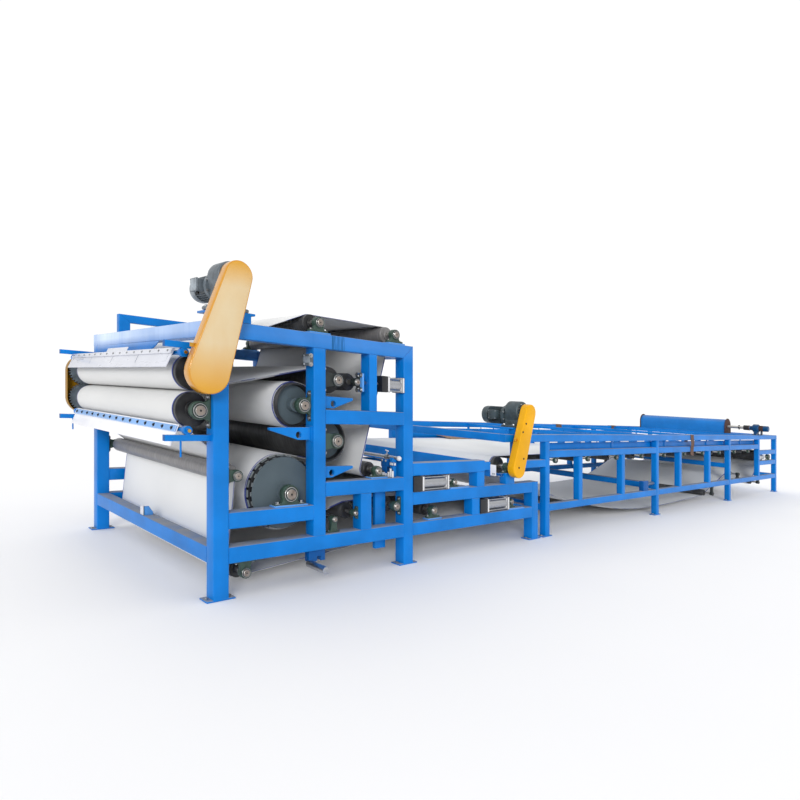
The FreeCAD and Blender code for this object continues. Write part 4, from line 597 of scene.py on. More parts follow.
class Piece:
    """A mesh in the making, with a finish for each of its faces."""

    def __init__(self, name: str) -> None:
        """Start an empty mesh."""
        self.name = name
        self.mesh = bmesh.new()
        self.finishes: list[Finish] = []

    def index(self, finish: Finish) -> int:
        """The material number of a finish in this piece."""
        if finish not in self.finishes:
            self.finishes.append(finish)
        return self.finishes.index(finish)

    def take(self, part: bmesh.types.BMesh, bevel: float = 0.0, steps: int = 2,
             at: Matrix | None = None) -> None:
        """Add a closed part.

        Args:
            part: The part, whose faces have this piece's material numbers. It is freed.
            bevel: Width of the rounding on its sharp edges.
            steps: Faces across the rounding.
            at: Where the part goes.
        """
        bmesh.ops.recalc_face_normals(part, faces=part.faces)
        if bevel:
            sharp = [e for e in part.edges if len(e.link_faces) == 2 and e.calc_face_angle(0.0) > SHARP]
            bmesh.ops.bevel(part, geom=sharp, offset=bevel, segments=steps, profile=0.5,
                            affect="EDGES", clamp_overlap=True)
        if at is not None:
            part.transform(at)
            if at.determinant() < 0:
                bmesh.ops.reverse_faces(part, faces=part.faces)
        holder = bpy.data.meshes.new("holder")
        part.to_mesh(holder)
        part.free()
        self.mesh.from_mesh(holder)
        bpy.data.meshes.remove(holder)

    def stamp(self, other: "Piece", at: Matrix) -> None:
        """Add a copy of another piece, moved to its place."""
        numbers = [self.index(finish) for finish in other.finishes]
        part = other.mesh.copy()
        for face in part.faces:
            face.material_index = numbers[face.material_index]
        self.take(part, at=at)

    def block(self, lo: Sequence[float], hi: Sequence[float], finish: Finish, bevel: float = 0.002) -> None:
        """A straight-sided block."""
        part = bmesh.new()
        bmesh.ops.create_cube(part, size=1.0)
        size = Vector(hi) - Vector(lo)
        part.transform(Matrix.Translation((Vector(lo) + Vector(hi)) / 2) @ Matrix.Diagonal((*size, 1.0)))
        self.paint(part, finish)
        self.take(part, bevel)

    def loft(self, outlines: Sequence[tuple[float, Sequence[Point]]], finish: Finish, bevel: float = 0.0,
             steps: int = 2) -> None:
        """A closed body through outlines of (x, z) points, each at its own y."""
        part = bmesh.new()
        loops = [[part.verts.new((x, y, z)) for x, z in points] for y, points in outlines]
        part.faces.new(loops[0])
        part.faces.new(loops[-1][::-1])
        for first, second in zip(loops, loops[1:]):
            for k in range(len(first)):
                part.faces.new((first[k - 1], first[k], second[k], second[k - 1]))
        self.paint(part, finish)
        self.take(part, bevel, steps)

    def prism(self, outline: Sequence[Point], y0: float, y1: float, finish: Finish,
              bevel: float = 0.0, steps: int = 2) -> None:
        """An outline of (x, z) points, as thick as y0 to y1."""
        self.loft([(y0, outline), (y1, outline)], finish, bevel, steps)

    def slab(self, grids: Sequence[Sequence[Sequence[Vector]]], finish: Finish,
             chart: Callable[[int, int], Point] | None = None) -> None:
        """A body between a lower and an upper grid of points.

        Args:
            grids: The two grids, as rows of points.
            finish: The finish of all its faces.
            chart: The cloth's map at a row and a column, for an endless slab that joins its last row
                to its first.
        """
        part = bmesh.new()
        uv = part.loops.layers.uv.new("cloth") if chart else None
        layers = [[[part.verts.new(point) for point in row] for row in grid] for grid in grids]
        count, last = len(layers[0]), len(layers[0][0]) - 1

        def face(*corners: tuple[int, int, int]) -> None:
            """One face from (layer, row, column) corners, with its place on the cloth."""
            made = part.faces.new([layers[a][b % count][c] for a, b, c in corners])
            if chart:
                for loop, (_, b, c) in zip(made.loops, corners):
                    loop[uv].uv = chart(b, c)
        for b in range(count if chart else count - 1):
            for c in range(last):
                face((0, b, c), (0, b, c + 1), (0, b + 1, c + 1), (0, b + 1, c))
                face((1, b, c), (1, b + 1, c), (1, b + 1, c + 1), (1, b, c + 1))
            face((0, b, 0), (0, b + 1, 0), (1, b + 1, 0), (1, b, 0))
            face((0, b, last), (1, b, last), (1, b + 1, last), (0, b + 1, last))
        for b in () if chart else (0, count - 1):
            for c in range(last):
                face((0, b, c), (0, b, c + 1), (1, b, c + 1), (1, b, c))
        self.paint(part, finish)
        self.take(part)

    def turn(self, rings: Sequence[Ring], axis: Axis, steps: int = 48) -> None:
        """A closed round body about a level axis.

        Args:
            rings: Radius, y and the finish of the surface from there to the next ring.
            axis: The axis across the machine.
            steps: Faces round the axis.
        """
        part = bmesh.new()
        loops = []
        for radius, y, _ in rings:
            if not radius:
                loops.append([part.verts.new(axis.at(y))])
                continue
            angles = [2 * math.pi * k / steps for k in range(steps)]
            loops.append([part.verts.new((axis.x + radius * math.cos(a), y, axis.z + radius * math.sin(a)))
                          for a in angles])
        for (first, second), ring in zip(zip(loops, loops[1:]), rings):
            number = self.index(ring[2])
            for k in range(steps):
                corners = [first[k - 1], first[k]] if len(first) > 1 else [first[0]]
                corners += [second[k], second[k - 1]] if len(second) > 1 else [second[0]]
                if len(corners) > 2:
                    part.faces.new(corners).material_index = number
        self.take(part)

    def rod(self, start: Vector, end: Vector, radius: float, finish: Finish, steps: int = 16,
            bevel: float = 0.0) -> None:
        """A round bar between two points."""
        part = bmesh.new()
        bmesh.ops.create_cone(part, cap_ends=True, segments=steps, radius1=radius, radius2=radius,
                              depth=(end - start).length)
        turn = (end - start).to_track_quat("Z", "Y").to_matrix().to_4x4()
        self.paint(part, finish)
        self.take(part, bevel, at=Matrix.Translation((start + end) / 2) @ turn)

    def paint(self, part: bmesh.types.BMesh, finish: Finish) -> None:
        """Give every face of a part one finish."""
        number = self.index(finish)
        for face in part.faces:
            face.material_index = number

    def done(self, body: str, replaces: Iterable[str] = (), crease: float = CREASE) -> bpy.types.Object:
        """Make the object, seat it on its body and hide the nodes that it stands for.

        Args:
            body: The frame's body that it rides on.
            replaces: The frame's nodes that it stands for.
            crease: Edges sharper than this many degrees stay sharp.

        Returns:
            The finished object.
        """
        mesh = bpy.data.meshes.new(self.name)
        self.mesh.to_mesh(mesh)
        self.mesh.free()
        for finish in self.finishes:
            mesh.materials.append(finish.material())
        mesh.shade_smooth()
        mesh.set_sharp_from_angle(angle=math.radians(crease))
        made = bpy.data.objects.new(self.name, mesh)
        bpy.context.scene.collection.objects.link(made)
        seat(made, body, replaces, self.finishes[0].slot)
        return made


def seat(made: bpy.types.Object, body: str, replaces: Iterable[str], slot: str) -> None:
    """Ride a finished object on its body and hide the nodes that it stands for."""
    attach(made, body)
    if replaces:
        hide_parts(*replaces)
    LOG.info("%s: %d faces on %s", made.name, len(made.data.polygons), body)


class Model:
    """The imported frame, and what the sub-assemblies read from it."""

    def __init__(self) -> None:
        """Load the frame and keep its box."""
        self.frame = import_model()
        self.box = [list(corner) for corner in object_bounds()]
        self.belt = self.extent("upper_belt")

    def extent(self, node: str) -> Extent:
        """A node's box."""
        return Extent(*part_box(node))

    def points(self, node: str) -> np.ndarray:
        """All corners of a node's mesh."""
        mesh = self.frame["nodes"][node].data
        flat = np.zeros(len(mesh.vertices) * 3, np.float32)
        mesh.vertices.foreach_get("co", flat)
        return flat.reshape(-1, 3)

    def axis(self, node: str) -> Axis:
        """The axis of a roller or of anything as even about one."""
        middle = self.extent(node).centre
        return Axis(middle.x, middle.z)

    def barrel(self, node: str) -> float:
        """A roller's radius between the belts' edges."""
        points = self.points(node)
        inner = points[(points[:, 1] > self.belt.lo.y - 0.05) & (points[:, 1] < self.belt.hi.y + 0.05)]
        return float(inner[:, 2].max() - inner[:, 2].min()) / 2

    def merged(self, node: str) -> bmesh.types.BMesh:
        """A copy of a node's mesh with its corners merged and its flat faces whole."""
        part = bmesh.new()
        part.from_mesh(self.frame["nodes"][node].data)
        bmesh.ops.remove_doubles(part, verts=part.verts, dist=2e-5)
        bmesh.ops.dissolve_limit(part, angle_limit=math.radians(1.0), verts=part.verts, edges=part.edges)
        return part

    def solids(self, node: str) -> list[Extent]:
        """The box of each solid of a node."""
        part = self.merged(node)
        found = [extent_of(verts) for verts in islands(part)]
        part.free()
        return found


def islands(part: bmesh.types.BMesh) -> list[list[bmesh.types.BMVert]]:
    """The vertices of each connected solid of a mesh, in the mesh's own order."""
    left = set(part.verts)
    found = []
    for start in part.verts:
        if start not in left:
            continue
        left.remove(start)
        group, edge_of = [], [start]
        while edge_of:
            vert = edge_of.pop()
            group.append(vert)
            for edge in vert.link_edges:
                other = edge.other_vert(vert)
                if other in left:
                    left.remove(other)
                    edge_of.append(other)
        found.append(group)
    return found


def extent_of(verts: Iterable[bmesh.types.BMVert]) -> Extent:
    """The box of some vertices."""
    corners = np.array([v.co for v in verts])
    return Extent(Vector(corners.min(0)), Vector(corners.max(0)))


def spokes(count: int, shift: float = 0.0) -> list[Vector]:
    """Outward directions spread evenly about a level axis, from a share of one step past X."""
    angles = [2 * math.pi * (k + shift) / count for k in range(count)]
    return [Vector((math.cos(a), 0.0, math.sin(a))) for a in angles]


def backwards(rings: Sequence[Ring]) -> list[Ring]:
    """Rings in the other order, each finish kept on its own surface."""
    turned = list(reversed(rings))
    return [(r, y, turned[min(k + 1, len(turned) - 1)][2]) for k, (r, y, _) in enumerate(turned)]


# Bolts
def point_mesh(name: str, places: Sequence[Vector], facings: Sequence[Vector],
               sizes: Sequence[float] = ()) -> bpy.types.Mesh:
    """Loose points that carry a facing each, and perhaps a size."""
    mesh = bpy.data.meshes.new(name)
    mesh.from_pydata(places, [], [])
    vectors = mesh.attributes.new("facing", "FLOAT_VECTOR", "POINT").data
    vectors.foreach_set("vector", [c for facing in facings for c in facing])
    if sizes:
        mesh.attributes.new("size", "FLOAT", "POINT").data.foreach_set("value", sizes)
    return mesh


def grown(name: str, mesh: bpy.types.Mesh, tree: bpy.types.NodeTree, inputs: dict[str, Any], body: str,
          finish: Finish) -> bpy.types.Object:
    """Run a node tree on a mesh and keep its result as a plain mesh.

    Args:
        name: The new object's name.
        mesh: The points that the tree starts from.
        tree: The geometry node tree.
        inputs: A value for each of the tree's named inputs, apart from its finish.
        body: The body that the result rides on.
        finish: The result's finish.

    Returns:
        The finished object.
    """
    made = bpy.data.objects.new(name, mesh)
    bpy.context.scene.collection.objects.link(made)
    modifier = made.modifiers.new("grow", "NODES")
    modifier.node_group = tree
    values = inputs | {"Finish": finish.material()}
    for item in tree.interface.items_tree:
        if item.in_out == "INPUT" and item.name in values:
            modifier[item.identifier] = values[item.name]
    graph = bpy.context.evaluated_depsgraph_get()
    result = bpy.data.meshes.new_from_object(made.evaluated_get(graph), depsgraph=graph)
    made.modifiers.clear()
    made.data = result
    result.name = name
    result.shade_smooth()
    result.set_sharp_from_angle(angle=math.radians(CREASE))
    seat(made, body, (), finish.slot)
    return made


@dataclass
class Bolts:
    """Hexagon bolts with washers, each standing on a face; lengths in widths across flats."""

    name: str
    finish: Finish = BOLT_STEEL
    places: list[Vector] = field(default_factory=list)
    facings: list[Vector] = field(default_factory=list)
    sizes: list[float] = field(default_factory=list)
    HEAD_HEIGHT = 0.62
    WASHER_RADIUS = 1.05
    WASHER_HEIGHT = 0.14
    WASHER_SIDES = 16
    SEED = 7

    def add(self, place: Sequence[float], facing: Sequence[float], across: float) -> None:
        """Stand one bolt, across flats wide, on a face that looks along facing."""
        self.places.append(Vector(place))
        self.facings.append(Vector(facing).normalized())
        self.sizes.append(across)

    def tree(self) -> bpy.types.NodeTree:
        """The node tree that stands a bolt on each point, turned by chance about its own axis."""
        tree, high = PointTree("bolt_on_each_point", {}), self.HEAD_HEIGHT
        head = tree.node("GeometryNodeMeshCylinder", {
            "Vertices": 6, "Radius": 1 / math.sqrt(3), "Depth": high})
        washer = tree.node("GeometryNodeMeshCylinder", {
            "Vertices": self.WASHER_SIDES, "Radius": self.WASHER_RADIUS, "Depth": self.WASHER_HEIGHT})
        raised = {"Geometry": head.outputs["Mesh"], "Translation": (0, 0, high / 2)}
        lifted = tree.node("GeometryNodeTransform", raised).outputs[0]
        join = tree.node("GeometryNodeJoinGeometry", {0: lifted})
        tree.put(join.inputs[0], washer.outputs["Mesh"])
        turns = {0: (0, 0, 0), 1: (0, 0, math.pi / 3), "Seed": self.SEED}
        angle = tree.node("FunctionNodeRandomValue", turns, data_type="FLOAT_VECTOR").outputs[0]
        spin = tree.node("FunctionNodeRotateRotation", {0: tree.aligned(), 1: angle}, rotation_space="LOCAL")
        return tree.stand(join.outputs[0], spin.outputs[0], tree.read("size", "FLOAT"))

    def done(self, body: str) -> bpy.types.Object:
        """Make all the bolts one plain mesh and seat it on its body."""
        mesh = point_mesh(self.name, self.places, self.facings, self.sizes)
        return grown(self.name, mesh, self.tree(), {}, body, self.finish)


# Frames
@dataclass
class TubeFrames:
    """The welded tube frames: each tube gets its rounded corners, each thin plate its eased edges."""

    model: Model
    corner: float = 0.009
    thin_corner: float = 0.0015
    thin: float = 0.045
    most_corners: int = 60
    along: float = 0.6
    nodes: tuple[str, ...] = (
        "press_posts_near", "press_posts_far", "press_rails_near", "press_rails_far", "press_cross_tubes",
        "table_posts", "table_rails", "table_cross_tubes")

    def rounded(self, node: str) -> None:
        """A copy of a node with the long edges of its tubes rounded and its plates' edges eased."""
        part = self.model.merged(node)
        tubes, plates = [], []
        for group in islands(part):
            sides = extent_of(group).size
            sharp = (e for v in group for e in v.link_edges if e.calc_face_angle(0.0) > SHARP)
            edges = list(dict.fromkeys(sharp))
            if min(sides) < self.thin or len(group) > self.most_corners:
                plates += edges
                continue
            long_axis = max(range(3), key=lambda axis: sides[axis])
            runs = ((e, (e.verts[1].co - e.verts[0].co).normalized()) for e in edges)
            tubes += [e for e, run in runs if abs(run[long_axis]) > self.along]
        bmesh.ops.bevel(part, geom=plates, offset=self.thin_corner, segments=1, affect="EDGES",
                        clamp_overlap=True)
        tubes = [e for e in tubes if e.is_valid]
        bmesh.ops.bevel(part, geom=tubes, offset=self.corner, segments=3, profile=0.5, affect="EDGES")
        piece = Piece(node + "_tubes")
        piece.paint(part, FRAME_BLUE)
        piece.take(part)
        piece.done(FRAME, [node])

    def build(self) -> None:
        """Dress all the tubes."""
        for node in self.nodes:
            self.rounded(node)


Rule = Callable[[Vector, Vector, Extent], Finish]


@dataclass
class Recut:
    """A node's own shape with eased edges, each face finished by a rule.

    The rule gets a face's middle, its outward direction and the box of its solid.
    """

    model: Model
    node: str
    rule: Rule
    corner: float = 0.002
    sharp: float = 0.6

    def build(self) -> None:
        """Copy, ease, finish and seat the node."""
        part = self.model.merged(self.node)
        part.faces.index_update()
        boxes = {}
        for group in islands(part):
            box = extent_of(group)
            for face in {f for v in group for f in v.link_faces}:
                boxes[face.index] = box
        piece = Piece(self.node + "_dressed")
        for face in part.faces:
            finish = self.rule(face.calc_center_bounds(), face.normal, boxes[face.index])
            face.material_index = piece.index(finish)
        sharp = [e for e in part.edges if len(e.link_faces) == 2 and e.calc_face_angle(0.0) > self.sharp]
        bmesh.ops.bevel(part, geom=sharp, offset=self.corner, segments=2, profile=0.5, affect="EDGES",
                        clamp_overlap=True)
        piece.take(part)
        piece.done(FRAME, [self.node])


# Rollers
class Cover(Enum):
    """What a roller's barrel is covered with."""

    RUBBER = "rubber"
    BARE = "bare"


@dataclass
class Roller:
    """One roller, or a row of them: barrel, bosses and shaft, with plain or recessed ends."""

    model: Model
    node: str
    shaft: float
    cover: Cover = Cover.RUBBER
    recess: float = 0.0
    body: str | None = None
    overhang: float = 0.045
    chamfer: float = 0.003
    boss_l: float = 0.018
    rim: float = 0.018
    spans: int = 8

    def end(self, y0: float, side: int, face: float, radius: float) -> list[Ring]:
        """From the shaft's drilled end to the barrel's edge.

        Args:
            y0: The shaft's end.
            side: 1 at the near end, -1 at the far one.
            face: The barrel's end.
            radius: The barrel's radius.
        """
        skin = ROLLER_RUBBER if self.cover is Cover.RUBBER else TUBE_STEEL
        hub = DISC_GREY if self.recess else skin
        boss, step, start = self.shaft * 1.5, side * self.chamfer, face - side * self.boss_l
        run = [(0.0, y0 + 4 * step, SEAL_BLACK), (self.shaft * 0.22, y0, SHAFT_BROWN),
               (self.shaft - self.chamfer, y0, SHAFT_STEEL), (self.shaft, y0 + step, SHAFT_STEEL),
               (self.shaft, start, hub), (boss - self.chamfer, start, hub), (boss, start + step, hub)]
        if self.recess:
            floor, inside = face + side * self.recess, radius - self.rim
            run += [(boss, floor, hub), (inside - 0.006, floor, skin), (inside, floor - 2 * step, skin),
                    (inside, face + side * 0.002, skin), (inside + 0.002, face, skin)]
        else:
            run += [(boss, face, skin)]
        return run + [(radius - 0.005, face, skin), (radius, face + side * 0.005, skin)]

    def rings(self, box: Extent, radius: float) -> list[Ring]:
        """The outline from the near shaft end to the far one, for a roller in a box."""
        near, far = self.model.belt.lo.y - self.overhang, self.model.belt.hi.y + self.overhang
        wrap = BARREL_RUBBER if self.cover is Cover.RUBBER else TUBE_STEEL
        first, last = self.end(box.lo.y, 1, near, radius), self.end(box.hi.y, -1, far, radius)
        middle = [(radius, near + (far - near) * k / self.spans, wrap) for k in range(1, self.spans)]
        return first[:-1] + [first[-1][:2] + (wrap,)] + middle + backwards(last)

    def build(self) -> None:
        """Turn the roller, or each roller of a row."""
        piece = Piece(self.node + "_turned")
        radius = self.model.barrel(self.node)
        for box in self.model.solids(self.node):
            piece.turn(self.rings(box, radius), Axis(box.centre.x, box.centre.z), 40 if radius < 0.1 else 72)
        piece.done(self.body or self.node, [self.node])


@dataclass
class Drum:
    """The dewatering drum: slats between two end rings, a disc on a notched rim at each end, a shaft."""

    model: Model
    node: str = "slatted_drum"
    shaft: float = 0.050
    chamfer: float = 0.003
    overhang: float = 0.045
    slats: int = 24
    slat_share: float = 0.72
    slat_t: float = 0.012
    sink: float = 0.001
    disc: float = 0.334
    disc_t: float = 0.010
    proud: float = 0.035
    notch: float = 0.018
    end_ring: float = 0.030
    lump: float = 0.036

    def ring_of_blocks(self, name: str, radius: float, ys: Sequence[float], size: Sequence[float]) -> None:
        """Blocks about the axis at a radius, one ring of them at each y."""
        axis, outs = self.model.axis(self.node), spokes(self.slats) * len(ys)
        places = [axis.at(ys[k // self.slats]) + out * radius for k, out in enumerate(outs)]
        tree = PointTree("block_on_each_point", {"Size": "Vector"})
        cube = tree.node("GeometryNodeMeshCube", {"Size": tree.given.outputs["Size"]}).outputs[0]
        whole = tree.stand(cube, tree.aligned())
        grown(name, point_mesh(name, places, outs), whole, {"Size": size}, self.node, SLAT_GREY)

    def end(self, y0: float, near: float, radius: float) -> list[Ring]:
        """From the shaft's drilled end to the inside of the end ring; radius is the rings' own."""
        shaft, boss, face = self.shaft, self.shaft * 1.6, near - self.proud
        core, back, inside = self.disc - self.notch, face + self.disc_t, near + self.end_ring
        return [(0.0, y0 + 4 * self.chamfer, SEAL_BLACK), (shaft * 0.22, y0, SHAFT_BROWN),
                (shaft - self.chamfer, y0, SHAFT_STEEL), (shaft, y0 + self.chamfer, SHAFT_STEEL),
                (shaft, face - 0.018, DISC_GREY), (boss, face - 0.016, DISC_GREY), (boss, face, DISC_GREY),
                (self.disc - 0.004, face, DISC_GREY), (self.disc, face + 0.004, DISC_GREY),
                (self.disc, back, ROLLER_RUBBER), (core, back, ROLLER_RUBBER), (core, near, ROLLER_RUBBER),
                (radius, near, ROLLER_RUBBER), (radius, inside, ROLLER_RUBBER),
                (radius - 0.012, inside, ROLLER_RUBBER)]

    def build(self) -> None:
        """Turn shaft, discs and end rings, then set the slats and the lumps behind the discs."""
        belt, box, radius = self.model.belt, self.model.extent(self.node), self.model.barrel(self.node)
        near, far = belt.lo.y - self.overhang, belt.hi.y + self.overhang
        first = self.end(box.lo.y, near, radius - self.slat_t)
        other = backwards([(r, near + far - y, finish) for r, y, finish in first])
        other[-1] = (0.0, box.hi.y - 4 * self.chamfer, SEAL_BLACK)
        piece = Piece(self.node + "_turned")
        piece.turn(first + other, self.model.axis(self.node), 96)
        piece.done(self.node, [self.node])
        pitch = 2 * math.pi * radius / self.slats
        slat = (pitch * self.slat_share, far - near - 2 * self.end_ring, self.slat_t)
        self.ring_of_blocks("drum_slats", radius - self.slat_t / 2 - self.sink, [(near + far) / 2], slat)
        back = near - self.proud + self.disc_t
        middle, lump = (back + near) / 2, (self.lump, near - back, self.notch)
        self.ring_of_blocks("drum_rim_lumps", self.disc - self.notch / 2, [middle, near + far - middle], lump)


@dataclass
class Gears:
    """The two meshing gears at the far ends of the nip rollers; shares are of a module and of a tooth."""

    model: Model
    upper: str = "upper_press_roller"
    lower: str = "lower_press_roller"
    teeth: int = 30
    start: float = 3.215
    thick: float = 0.060
    shares: tuple[float, float, float, float] = (0.8, 1.1, 0.36, 0.13)
    backlash: float = 0.0012

    def outline(self, axis: Axis, pitch: float, phase: float) -> list[Point]:
        """The toothed outline, its first tooth at the angle phase."""
        tip_out, root_in, root_share, tip_share = self.shares
        module, tooth = 2 * pitch / self.teeth, 2 * math.pi / self.teeth
        thin = self.backlash / 2 / pitch
        tip_r, root_r = pitch + tip_out * module, pitch - root_in * module
        root, tip = tooth * root_share - thin, tooth * tip_share - thin / 2
        points = []
        for k in range(self.teeth):
            for r, da in ((root_r, -root), (tip_r, -tip), (tip_r, tip), (root_r, root)):
                a = phase + k * tooth + da
                points.append((axis.x + r * math.cos(a), axis.z + r * math.sin(a)))
        return points

    def build(self) -> None:
        """One gear on each roller."""
        high, low = self.model.axis(self.upper), self.model.axis(self.lower)
        pitch, meshing = (high.z - low.z) / 2, math.pi / 2 + math.pi / self.teeth
        for node, axis, phase in ((self.upper, high, -math.pi / 2), (self.lower, low, meshing)):
            piece, outline = Piece(node + "_gear"), self.outline(axis, pitch, phase)
            piece.prism(outline, self.start, self.start + self.thick, MOTOR_GREY, 0.001, 1)
            piece.done(node)


# Bearings
class Towards(Enum):
    """Which way a bearing's seat lies from its axis, as the turn about Y that brings it there."""

    DOWN = 0.0
    LEFT = 90.0
    UP = 180.0
    RIGHT = -90.0

    def at(self, axis: Axis, y: float) -> Matrix:
        """The place of a bearing block on an axis."""
        return Matrix.Translation((axis.x, y, axis.z)) @ Matrix.Rotation(math.radians(self.value), 4, "Y")


@dataclass
class BearingBlock:
    """A plummer block about an axis at the origin, its seat below it by the standoff."""

    shaft: float
    standoff: float
    thick: float = 0.07
    dark: bool = False
    arc_steps: int = 20

    @property
    def ring(self) -> float:
        """Radius of the housing round the bearing."""
        return min(self.shaft * 1.75, self.standoff - 0.002)

    @property
    def foot_t(self) -> float:
        """Thickness of the foot."""
        return min(self.ring * 0.42, (self.standoff - self.ring) * 0.5 + 0.008)

    def outline(self) -> list[Point]:
        """Foot, waist and round top, as one outline."""
        ring, seat_z = self.ring, -self.standoff
        foot, waist, top = ring * 1.9, ring * 1.04, seat_z + self.foot_t
        side = [(foot, seat_z), (foot, seat_z + self.foot_t * 0.8), (foot - 0.006, top),
                (waist + 0.012, top), (waist, top + 0.010)]
        start = max(math.asin(max(-0.9, min(0.0, (top + 0.014) / ring))), -0.55)
        angles = [start + (math.pi - 2 * start) * k / self.arc_steps for k in range(self.arc_steps + 1)]
        arc = [(ring * math.cos(a), ring * math.sin(a)) for a in angles]
        return side + arc + [(-x, z) for x, z in reversed(side)]

    def piece(self) -> Piece:
        """The block with its ring, seal and race."""
        green = BEARING_DARK if self.dark else BEARING_GREEN
        made, half, ring = Piece("bearing_block"), self.thick / 2, self.ring
        made.prism(self.outline(), -self.thick * 0.34, self.thick * 0.34, green, 0.003)
        bore, lip, seal, face = self.shaft * 1.20, self.shaft * 1.38, ring * 0.86, half + 0.004
        run: list[Ring] = [
            (self.shaft * 1.02, half - 0.012, SEAL_BLACK), (bore, half - 0.012, SEAL_BLACK),
            (bore, face, RACE_STEEL), (lip - 0.002, face, RACE_STEEL), (lip, face - 0.002, RACE_STEEL),
            (lip, half - 0.016, SEAL_BLACK), (seal, half - 0.012, green), (seal, half - 0.002, green),
            (seal + 0.002, half, green), (ring * 0.94, half, green), (ring * 0.97, half - 0.004, green)]
        rings = [(r, -y, finish) for r, y, finish in run] + backwards(run)
        made.turn(rings + [(*rings[0][:2], SEAL_BLACK)], Axis(0.0, 0.0), 40)
        return made

    def bolt(self, bolts: Bolts, at: Matrix, reach: float, across: float) -> None:
        """Bolt the foot down at both ends; reach and across are in radii of the housing."""
        for side in (-1, 1):
            spot = at @ Vector((side * self.ring * reach, 0.0, self.foot_t - self.standoff))
            bolts.add(spot, at.to_3x3() @ UP, self.ring * across)


@dataclass
class Bearings:
    """Every bearing block of one node, found from the node's solids and the rollers' axes."""

    model: Model
    node: str
    shafts: dict[str, tuple[Axis, float]]
    dark: tuple[str, ...] = ()
    reach: float = 1.48
    across: float = 0.34

    def facing(self, box: Extent, axis: Axis) -> tuple[Towards, float]:
        """Which way a block's seat lies from its axis, and how far."""
        left, right = axis.x - box.lo.x, box.hi.x - axis.x
        down, up = axis.z - box.lo.z, box.hi.z - axis.z
        if abs(left - right) < abs(down - up):
            return (Towards.DOWN, down) if down > up else (Towards.UP, up)
        return (Towards.LEFT, left) if left > right else (Towards.RIGHT, right)

    def nearest(self, box: Extent) -> str:
        """The roller whose axis goes through a block."""
        def off(name: str) -> float:
            """How far a roller's axis is from the block's middle, in sides of the block."""
            axis = self.shafts[name][0]
            return max(abs(axis.x - box.centre.x) / box.size.x, abs(axis.z - box.centre.z) / box.size.z)
        return min(self.shafts, key=off)

    def build(self) -> None:
        """Stamp a block at each solid, with its bolts."""
        piece, bolts = Piece(self.node + "_blocks"), Bolts(self.node + "_bolts")
        for box in self.model.solids(self.node):
            roller = self.nearest(box)
            axis, shaft = self.shafts[roller]
            towards, standoff = self.facing(box, axis)
            block = BearingBlock(shaft, standoff, box.size.y, roller in self.dark)
            at = towards.at(axis, box.centre.y)
            piece.stamp(block.piece(), at)
            block.bolt(bolts, at, self.reach, self.across)
        piece.done(FRAME, [self.node])
        bolts.done(FRAME)


@dataclass
class Slides:
    """The bearings that the cylinders push, each with its rod, the press pair on a blue plate."""

    model: Model
    node: str
    roller: str
    towards: Towards
    rod_z: float
    plate_x: float = 0.0
    plate_t: float = 0.030
    plate_half: Point = (0.050, 0.095)
    plate_bolts: Point = (0.030, 0.075)
    thick: float = 0.070
    shaft: float = 0.024
    rod: float = 0.016
    reach: float = 1.5
    across: float = 0.36

    def plate(self, piece: Piece, bolts: Bolts, y: float, z: float) -> None:
        """The blue plate behind a block, with four bolts."""
        (wide, high), (dy, dz) = self.plate_half, self.plate_bolts
        back = self.plate_x + self.plate_t
        piece.block((self.plate_x, y - wide, z - high), (back, y + wide, z + high), PALE_BLUE, 0.003)
        for up in (-dz, dz):
            for side in (-dy, dy):
                bolts.add((self.plate_x, y + side, z + up), -ALONG, 0.026)

    def build(self) -> None:
        """A block, a rod and perhaps a plate at each side."""
        piece, bolts = Piece(self.node + "_dressed"), Bolts(self.node + "_bolts")
        axis = self.model.axis(self.roller)
        for box in self.model.solids(self.node):
            y = box.centre.y
            standoff = self.plate_x - axis.x if self.plate_x else axis.z - box.lo.z
            block = BearingBlock(self.shaft, standoff, self.thick, bool(self.plate_x))
            at = self.towards.at(axis, y)
            piece.stamp(block.piece(), at)
            block.bolt(bolts, at, self.reach, self.across)
            start, end = box.lo.x, axis.x - block.ring * 0.7
            if self.plate_x:
                self.plate(piece, bolts, y, axis.z)
                start, end = self.plate_x + self.plate_t, box.hi.x
            piece.rod(Vector((start, y, self.rod_z)), Vector((end, y, self.rod_z)), self.rod, SHAFT_STEEL, 24)
        piece.done(self.node, [self.node])
        bolts.done(self.node)


